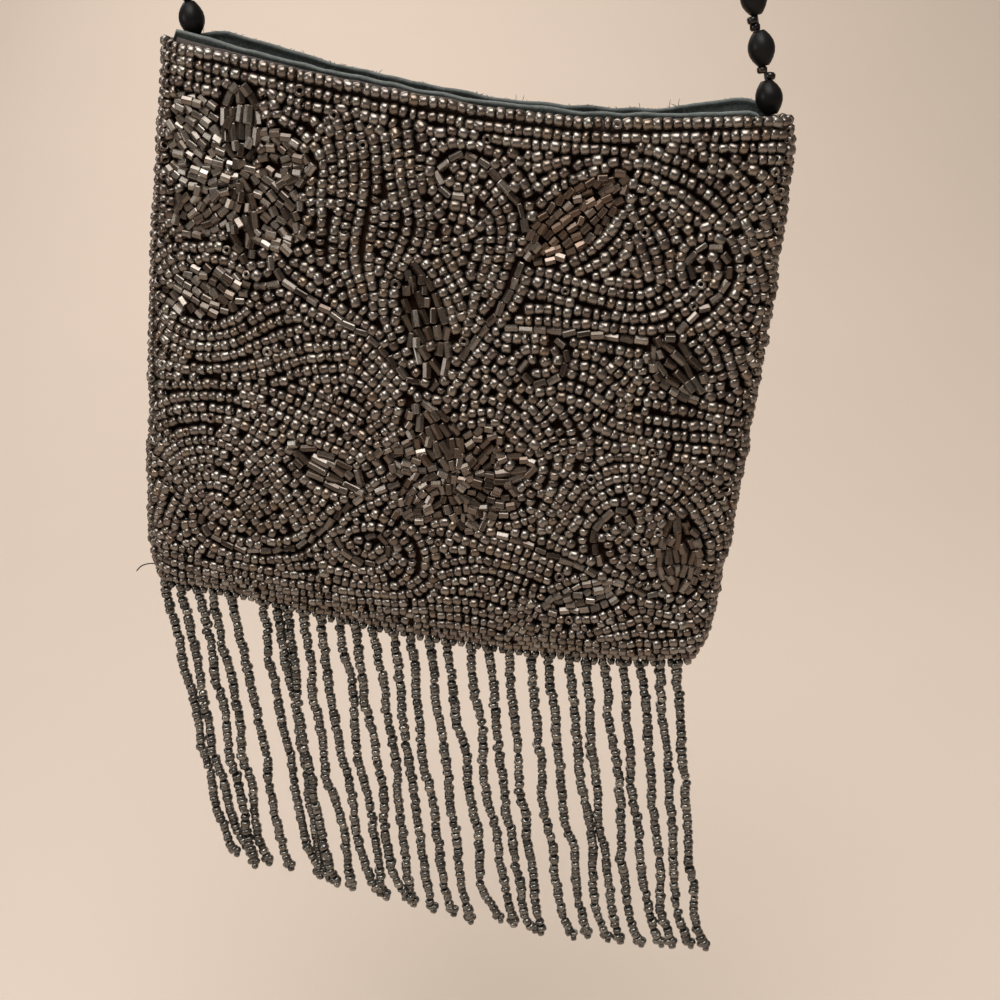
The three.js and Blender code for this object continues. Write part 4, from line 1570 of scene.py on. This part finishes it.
class BAG_OT_fringe(bpy.types.Operator):
    """Strings the fringe: strands of seed beads along the bottom seam, each with a small tip of three"""

    bl_idname = "bag.fringe"
    bl_label = "Fringe"

    def execute(self, context):
        sizes = context.scene.bag_sizes
        rng = np.random.default_rng(DRAWS["fringe"])
        lines = [self.course(strand, rng) for strand in STRANDS]
        groups = [self.strung(line, sizes, rng) for line in lines]
        half = len(groups) // 2
        for name, some in (("fringe_left", groups[:half]), ("fringe_right", groups[half:])):
            beads = rocked(gathered(some), rng, "strand")
            made = bead_piece(name, beads, SEED_SECTION, FRINGE_SIDES, shared(pewter_finish))
            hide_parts("fringe")
        threads = [line[::2] for line in lines]
        tubes("fringe_threads", threads, sizes.thread / 2, shared(thread_finish))
        self.seam_row(sizes, rng)
        return {"FINISHED"}

    @staticmethod
    def course(strand, rng):
        """The line of one strand in the world: it hangs plumb and wanders a little."""
        at, belly, tail, forward = strand
        front = wall("front_panel", FRONT)
        seam = float(np.interp(at, Wall.ACROSS, front.bottom))
        top = to_world([(at, 0, seam - STRAND_DROP)])[0]
        length = STRAND_LENGTH - LEFT_SHORT * max(0, at / STRANDS[0][0])
        places = [
            (share * belly + end * tail, -out * forward, -down * length)
            for down, share, end, out in STRAND_COURSE
        ]
        line = smooth_line(places, 1.0)
        down = -line[:, 2]
        slack = ramp(down, 0, SLACK)
        knots = np.arange(0, length + KINK_STEP, KINK_STEP)
        for axis in (0, 1):
            line[:, axis] += slack * np.interp(down, knots, rng.normal(0, KINK, len(knots)))
        bent = fade(length - down, HOOK_LENGTH)
        line[:, 0] += rng.uniform(0, HOOK) * bent**2
        return top + line * MM

    @staticmethod
    def strung(line, sizes, rng):
        """Beads of one strand, and the three small beads of its tip."""
        width = sizes.fringe_seed
        at, way = along(line, sizes.fringe_pitch)
        at += rng.normal(0, STRAND_SCATTER * width, at.shape)
        tip, last = line[-1], way[-1]
        across = np.array([1.0, 0.0, 0.0])
        aside = across * width * TIP_SPREAD
        ends = [tip - aside, tip + aside, tip + last * width * TIP_DROP]
        lean = TIP_LEAN * across
        at, way = np.vstack([at, ends]), np.vstack([way, last + lean, last - lean, across])
        count = len(at)
        out = np.tile([TO_FRONT], (count, 1))
        tone, warm = toned(count, rng, *STRAND_TONES)
        length = sizes.fringe_pitch * rng.normal(*STRAND_LENGTHS, count)
        widths = width * rng.normal(*STRAND_WIDTHS, count)
        widths[-len(ends):] *= TIP_SIZE
        return Beads(at, unit(way), out, length, widths, tone, warm)

    @staticmethod
    def seam_row(sizes, rng):
        """The row of beads along the bottom seam that the strands hang from."""
        front = wall("front_panel", FRONT)
        line = border_line(front, front.bottom, 0, SEAM_INSET)
        at, way = along(line, sizes.seed_length / MM + THREAD_PLAY)
        count = len(at)
        depth = rng.normal(0, SEAM_SPREAD, count)
        centre = to_world(np.stack([at[:, 0], depth, at[:, 1] - SEAM_DROP], -1))
        thread = turned(np.stack([way[:, 0], np.zeros(count), way[:, 1]], -1))
        out = turned(np.tile([SEAM_OUT], (count, 1)))
        tone, warm = toned(count, rng, *SEAM_TONES)
        length = sizes.seed_length * rng.normal(*THREAD_LENGTHS, count)
        width = sizes.seed_diameter * rng.normal(*SEAM_WIDTHS, count)
        beads = rocked(Beads(centre, thread, out, length, width, tone, warm), rng, "seam")
        finish = shared(pewter_finish)
        bead_piece("bottom_seam_beads", beads, PLAIN_SECTION, PLAIN_SIDES, finish)


class BAG_OT_strap(bpy.types.Operator):
    """Strings the strap: black oval beads with two small beads between each pair"""

    bl_idname = "bag.strap"
    bl_label = "Strap"

    def execute(self, context):
        sizes = context.scene.bag_sizes
        rng = np.random.default_rng(DRAWS["strap"])
        line = self.course() * MM
        length = float(np.linalg.norm(np.diff(line, axis=0), axis=1).sum())
        count = round((length - sizes.oval_length) / (OVAL_PITCH * MM)) + 1
        step = (length - sizes.oval_length) / (count - 1)
        at, way = along(line, step, sizes.oval_length / 2)
        long, wide = sizes.oval_length, sizes.oval_diameter
        ovals = rocked(self.beads(at[:count], way[:count], long, wide, rng, OVAL_SPREAD), rng, "oval")
        top = int(ovals.centre[:, 2].argmax()) + 1
        order = np.arange(count)
        for name, kept, node in (
            ("strap_ovals_left", order < top, "strap_left"),
            ("strap_ovals_right", order >= top, "strap_right"),
        ):
            half = ovals.part(kept)
            made = bead_piece(name, half, OVAL_SECTION, OVAL_SIDES, shared(black_finish))
            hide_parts(node)
        self.small_beads(line, step, count, sizes, rng)
        thread = along(line, THREAD_STEP * MM)[0]
        tubes("strap_thread", [thread], sizes.thread / 2, shared(thread_finish))
        return {"FINISHED"}

    @staticmethod
    def course():
        """The strap's line in the world, in millimetres: straight up, over the peg and straight down."""
        radius = PEG_RADIUS + bpy.context.scene.bag_sizes.oval_diameter / MM / 2
        peg = np.array([0.0, -PEG_RADIUS])
        ends = to_world([(across, 0, up) for across, up in STRAP_ENDS])[:, [0, 2]] / MM
        turns = []
        for end, side in zip(ends, (-1, 1)):
            away = end - peg
            turns.append(math.atan2(away[1], away[0]) + side * math.acos(radius / np.linalg.norm(away)))
        bend = np.linspace(turns[0] + 2 * math.pi, turns[1], 40)
        arc = peg + radius * np.stack([np.cos(bend), np.sin(bend)], -1)
        flat = np.vstack([ends[:1], arc, ends[1:]])
        return np.stack([flat[:, 0], np.zeros(len(flat)), flat[:, 1]], -1)

    @staticmethod
    def beads(at, way, length, width, rng, spread):
        """Beads strung at places along the strap."""
        count = len(at)
        out = np.tile([TO_FRONT], (count, 1))
        tone = rng.uniform(*STRAP_TONES, count)
        warm = warmths(count, rng, *STRAP_WARMTHS)
        lengths, widths = length * rng.normal(1, spread, count), width * rng.normal(1, spread, count)
        return Beads(at, unit(way), out, lengths, widths, tone, warm)

    def small_beads(self, line, step, count, sizes, rng):
        """Two small beads in each gap between the ovals."""
        gap = step - sizes.oval_length
        groups = []
        for share in SMALL_PLACES:
            at, way = along(line, step, sizes.oval_length + gap * share)
            aside = np.clip(rng.normal(0, SMALL_SCATTER, (len(at), 2)), -SMALL_ASIDE, SMALL_ASIDE)
            at[:, :2] += aside * MM
            at, way = at[:count - 1], way[:count - 1]
            groups.append(self.beads(at, way, gap * SMALL_LENGTH, sizes.strap_seed, rng, SMALL_SPREAD))
        beads = rocked(gathered(groups), rng, "small")
        finish = shared(strap_seed_finish)
        bead_piece("strap_small_beads", beads, SEED_SECTION, FRINGE_SIDES, finish)


CAMERA_PLACE = (37.754, -218.42, -366.622)  # millimetres from the peg
# The floor and backdrop, in metres
FLOOR_SIZE = 30.0
SWEEP_START = 0.6  # where the floor starts to curve up, behind the bag
SWEEP_RADIUS = 1.5
SWEEP_TOP = 2.5
SENSOR = 36.0
NEAREST = 0.01  # the camera sees nothing nearer, in metres
LAMP_WARM = (1.0, 0.96, 0.91)
LAMP_PLAIN = (1.0, 1.0, 1.0)
LAMP_COOL = (0.98, 1.0, 1.0)
BEHIND = (0.0, 1.45, 0.0)  # the back light is placed about, and faces, a point this far behind the bag
WORLD_COLOUR = (0.90, 0.82, 0.74, 1)
WORLD_STRENGTH = 0.16


class BAG_OT_stage(bpy.types.Operator):
    """Sets the pale floor, the soft lights and the camera"""

    bl_idname = "bag.stage"
    bl_label = "Stage"

    def execute(self, context):
        stage = context.scene.bag_stage
        self.floor(stage)
        self.world(context.scene)
        self.camera(context.scene, stage)
        middle = Vector(to_world([(0, 0, 0)])[0])
        behind = middle + Vector(BEHIND)
        self.light("key_light", (0.1, -0.5, 0.7), 0.5, stage.key_power, middle, LAMP_PLAIN)
        self.light("top_light", (0.0, -0.5, 1.2), 1.3, stage.top_power, middle, LAMP_WARM)
        self.light("side_light", (-0.7, -0.5, 0.2), 0.3, stage.fill_power, middle, LAMP_COOL)
        self.light("back_light", (-0.5, -0.5, 1.05), 1.2, stage.back_power, behind, LAMP_WARM)
        context.scene.view_settings.view_transform = "Standard"
        return {"FINISHED"}

    @staticmethod
    def floor(stage):
        """A wide plain floor far enough below the fringe, which curves up into a backdrop."""
        turn = np.linspace(0, math.pi / 2, 24)
        curve = np.stack([np.sin(turn), 1 - np.cos(turn)], -1) * SWEEP_RADIUS
        curve += (SWEEP_START, -stage.floor_drop)
        profile = np.vstack([[(-FLOOR_SIZE / 2, -stage.floor_drop)], curve, [(curve[-1][0], SWEEP_TOP)]])
        width = np.array([-FLOOR_SIZE / 2, FLOOR_SIZE / 2])
        points = np.array([(x, y, z) for y, z in profile for x in width])
        faces = [(2 * row, 2 * row + 1, 2 * row + 3, 2 * row + 2) for row in range(len(profile) - 1)]
        mesh = bpy.data.meshes.new("floor")
        mesh.from_pydata(points.tolist(), [], faces)
        mesh.polygons.foreach_set("use_smooth", np.full(len(faces), True))
        mesh.materials.append(shared(floor_finish))
        floor = bpy.data.objects.new("floor", mesh)
        bpy.context.scene.collection.objects.link(floor)

    @staticmethod
    def world(scene):
        """Soft pale light from all round."""
        scene.world = bpy.data.worlds.new("studio")
        scene.world.use_nodes = True
        background = scene.world.node_tree.nodes["Background"]
        background.inputs["Color"].default_value = WORLD_COLOUR
        background.inputs["Strength"].default_value = WORLD_STRENGTH

    @staticmethod
    def camera(scene, stage):
        """A camera at the photograph's place, turned, tipped and leaned as it was."""
        data = bpy.data.cameras.new("camera")
        data.lens = stage.lens
        data.sensor_width = SENSOR
        data.clip_start = NEAREST
        camera = bpy.data.objects.new("camera", data)
        scene.collection.objects.link(camera)
        ahead = Matrix.Rotation(stage.heading, 4, "Z") @ Matrix.Rotation(math.pi / 2 - stage.pitch, 4, "X")
        place = Matrix.Translation(Vector(CAMERA_PLACE) * MM)
        camera.matrix_world = place @ ahead @ Matrix.Rotation(-stage.roll, 4, "Z")
        scene.camera = camera

    @staticmethod
    def light(name, place, size, power, aim, colour):
        """A soft square light at a place relative to the point that it faces."""
        data = bpy.data.lights.new(name, "AREA")
        data.size = size
        data.energy = power
        data.color = colour
        lamp = bpy.data.objects.new(name, data)
        lamp.location = aim + Vector(place)
        lamp.rotation_euler = (-Vector(place)).to_track_quat("-Z", "Y").to_euler()
        bpy.context.scene.collection.objects.link(lamp)


OPERATORS = (
    BAG_OT_stage,
    BAG_OT_ground_cloth,
    BAG_OT_front_beads,
    BAG_OT_back_beads,
    BAG_OT_side_stitches,
    BAG_OT_lining,
    BAG_OT_fringe,
    BAG_OT_strap,
)


class BAG_PT_panel(bpy.types.Panel):
    """Lists the pieces of the bag, its sizes and its colours"""

    bl_idname = "BAG_PT_panel"
    bl_label = "Beaded Evening Bag"
    bl_space_type = "VIEW_3D"
    bl_region_type = "UI"
    bl_category = "Evening Bag"

    def draw(self, context):
        for operator in OPERATORS:
            self.layout.operator(operator.bl_idname)
        for group in (context.scene.bag_sizes, context.scene.bag_colours, context.scene.bag_stage):
            box = self.layout.box()
            for name in group.bl_rna.properties.keys():
                if name not in ("rna_type", "name"):
                    box.prop(group, name)


CLASSES = (BagSizes, BagColours, BagStage, *OPERATORS, BAG_PT_panel)


def register():
    """Registers the classes and their settings."""
    for kind in CLASSES:
        bpy.utils.register_class(kind)
    bpy.types.Scene.bag_sizes = PointerProperty(type=BagSizes)
    bpy.types.Scene.bag_colours = PointerProperty(type=BagColours)
    bpy.types.Scene.bag_stage = PointerProperty(type=BagStage)


def unregister():
    """Removes the settings and the classes."""
    del bpy.types.Scene.bag_sizes
    del bpy.types.Scene.bag_colours
    del bpy.types.Scene.bag_stage
    for kind in reversed(CLASSES):
        bpy.utils.unregister_class(kind)


def main():
    """Makes the whole bag."""
    register()
    for operator in OPERATORS:
        group, name = operator.bl_idname.split(".")
        getattr(getattr(bpy.ops, group), name)()
    bpy.context.view_layer.update()


if __name__ == "__main__":
    main()
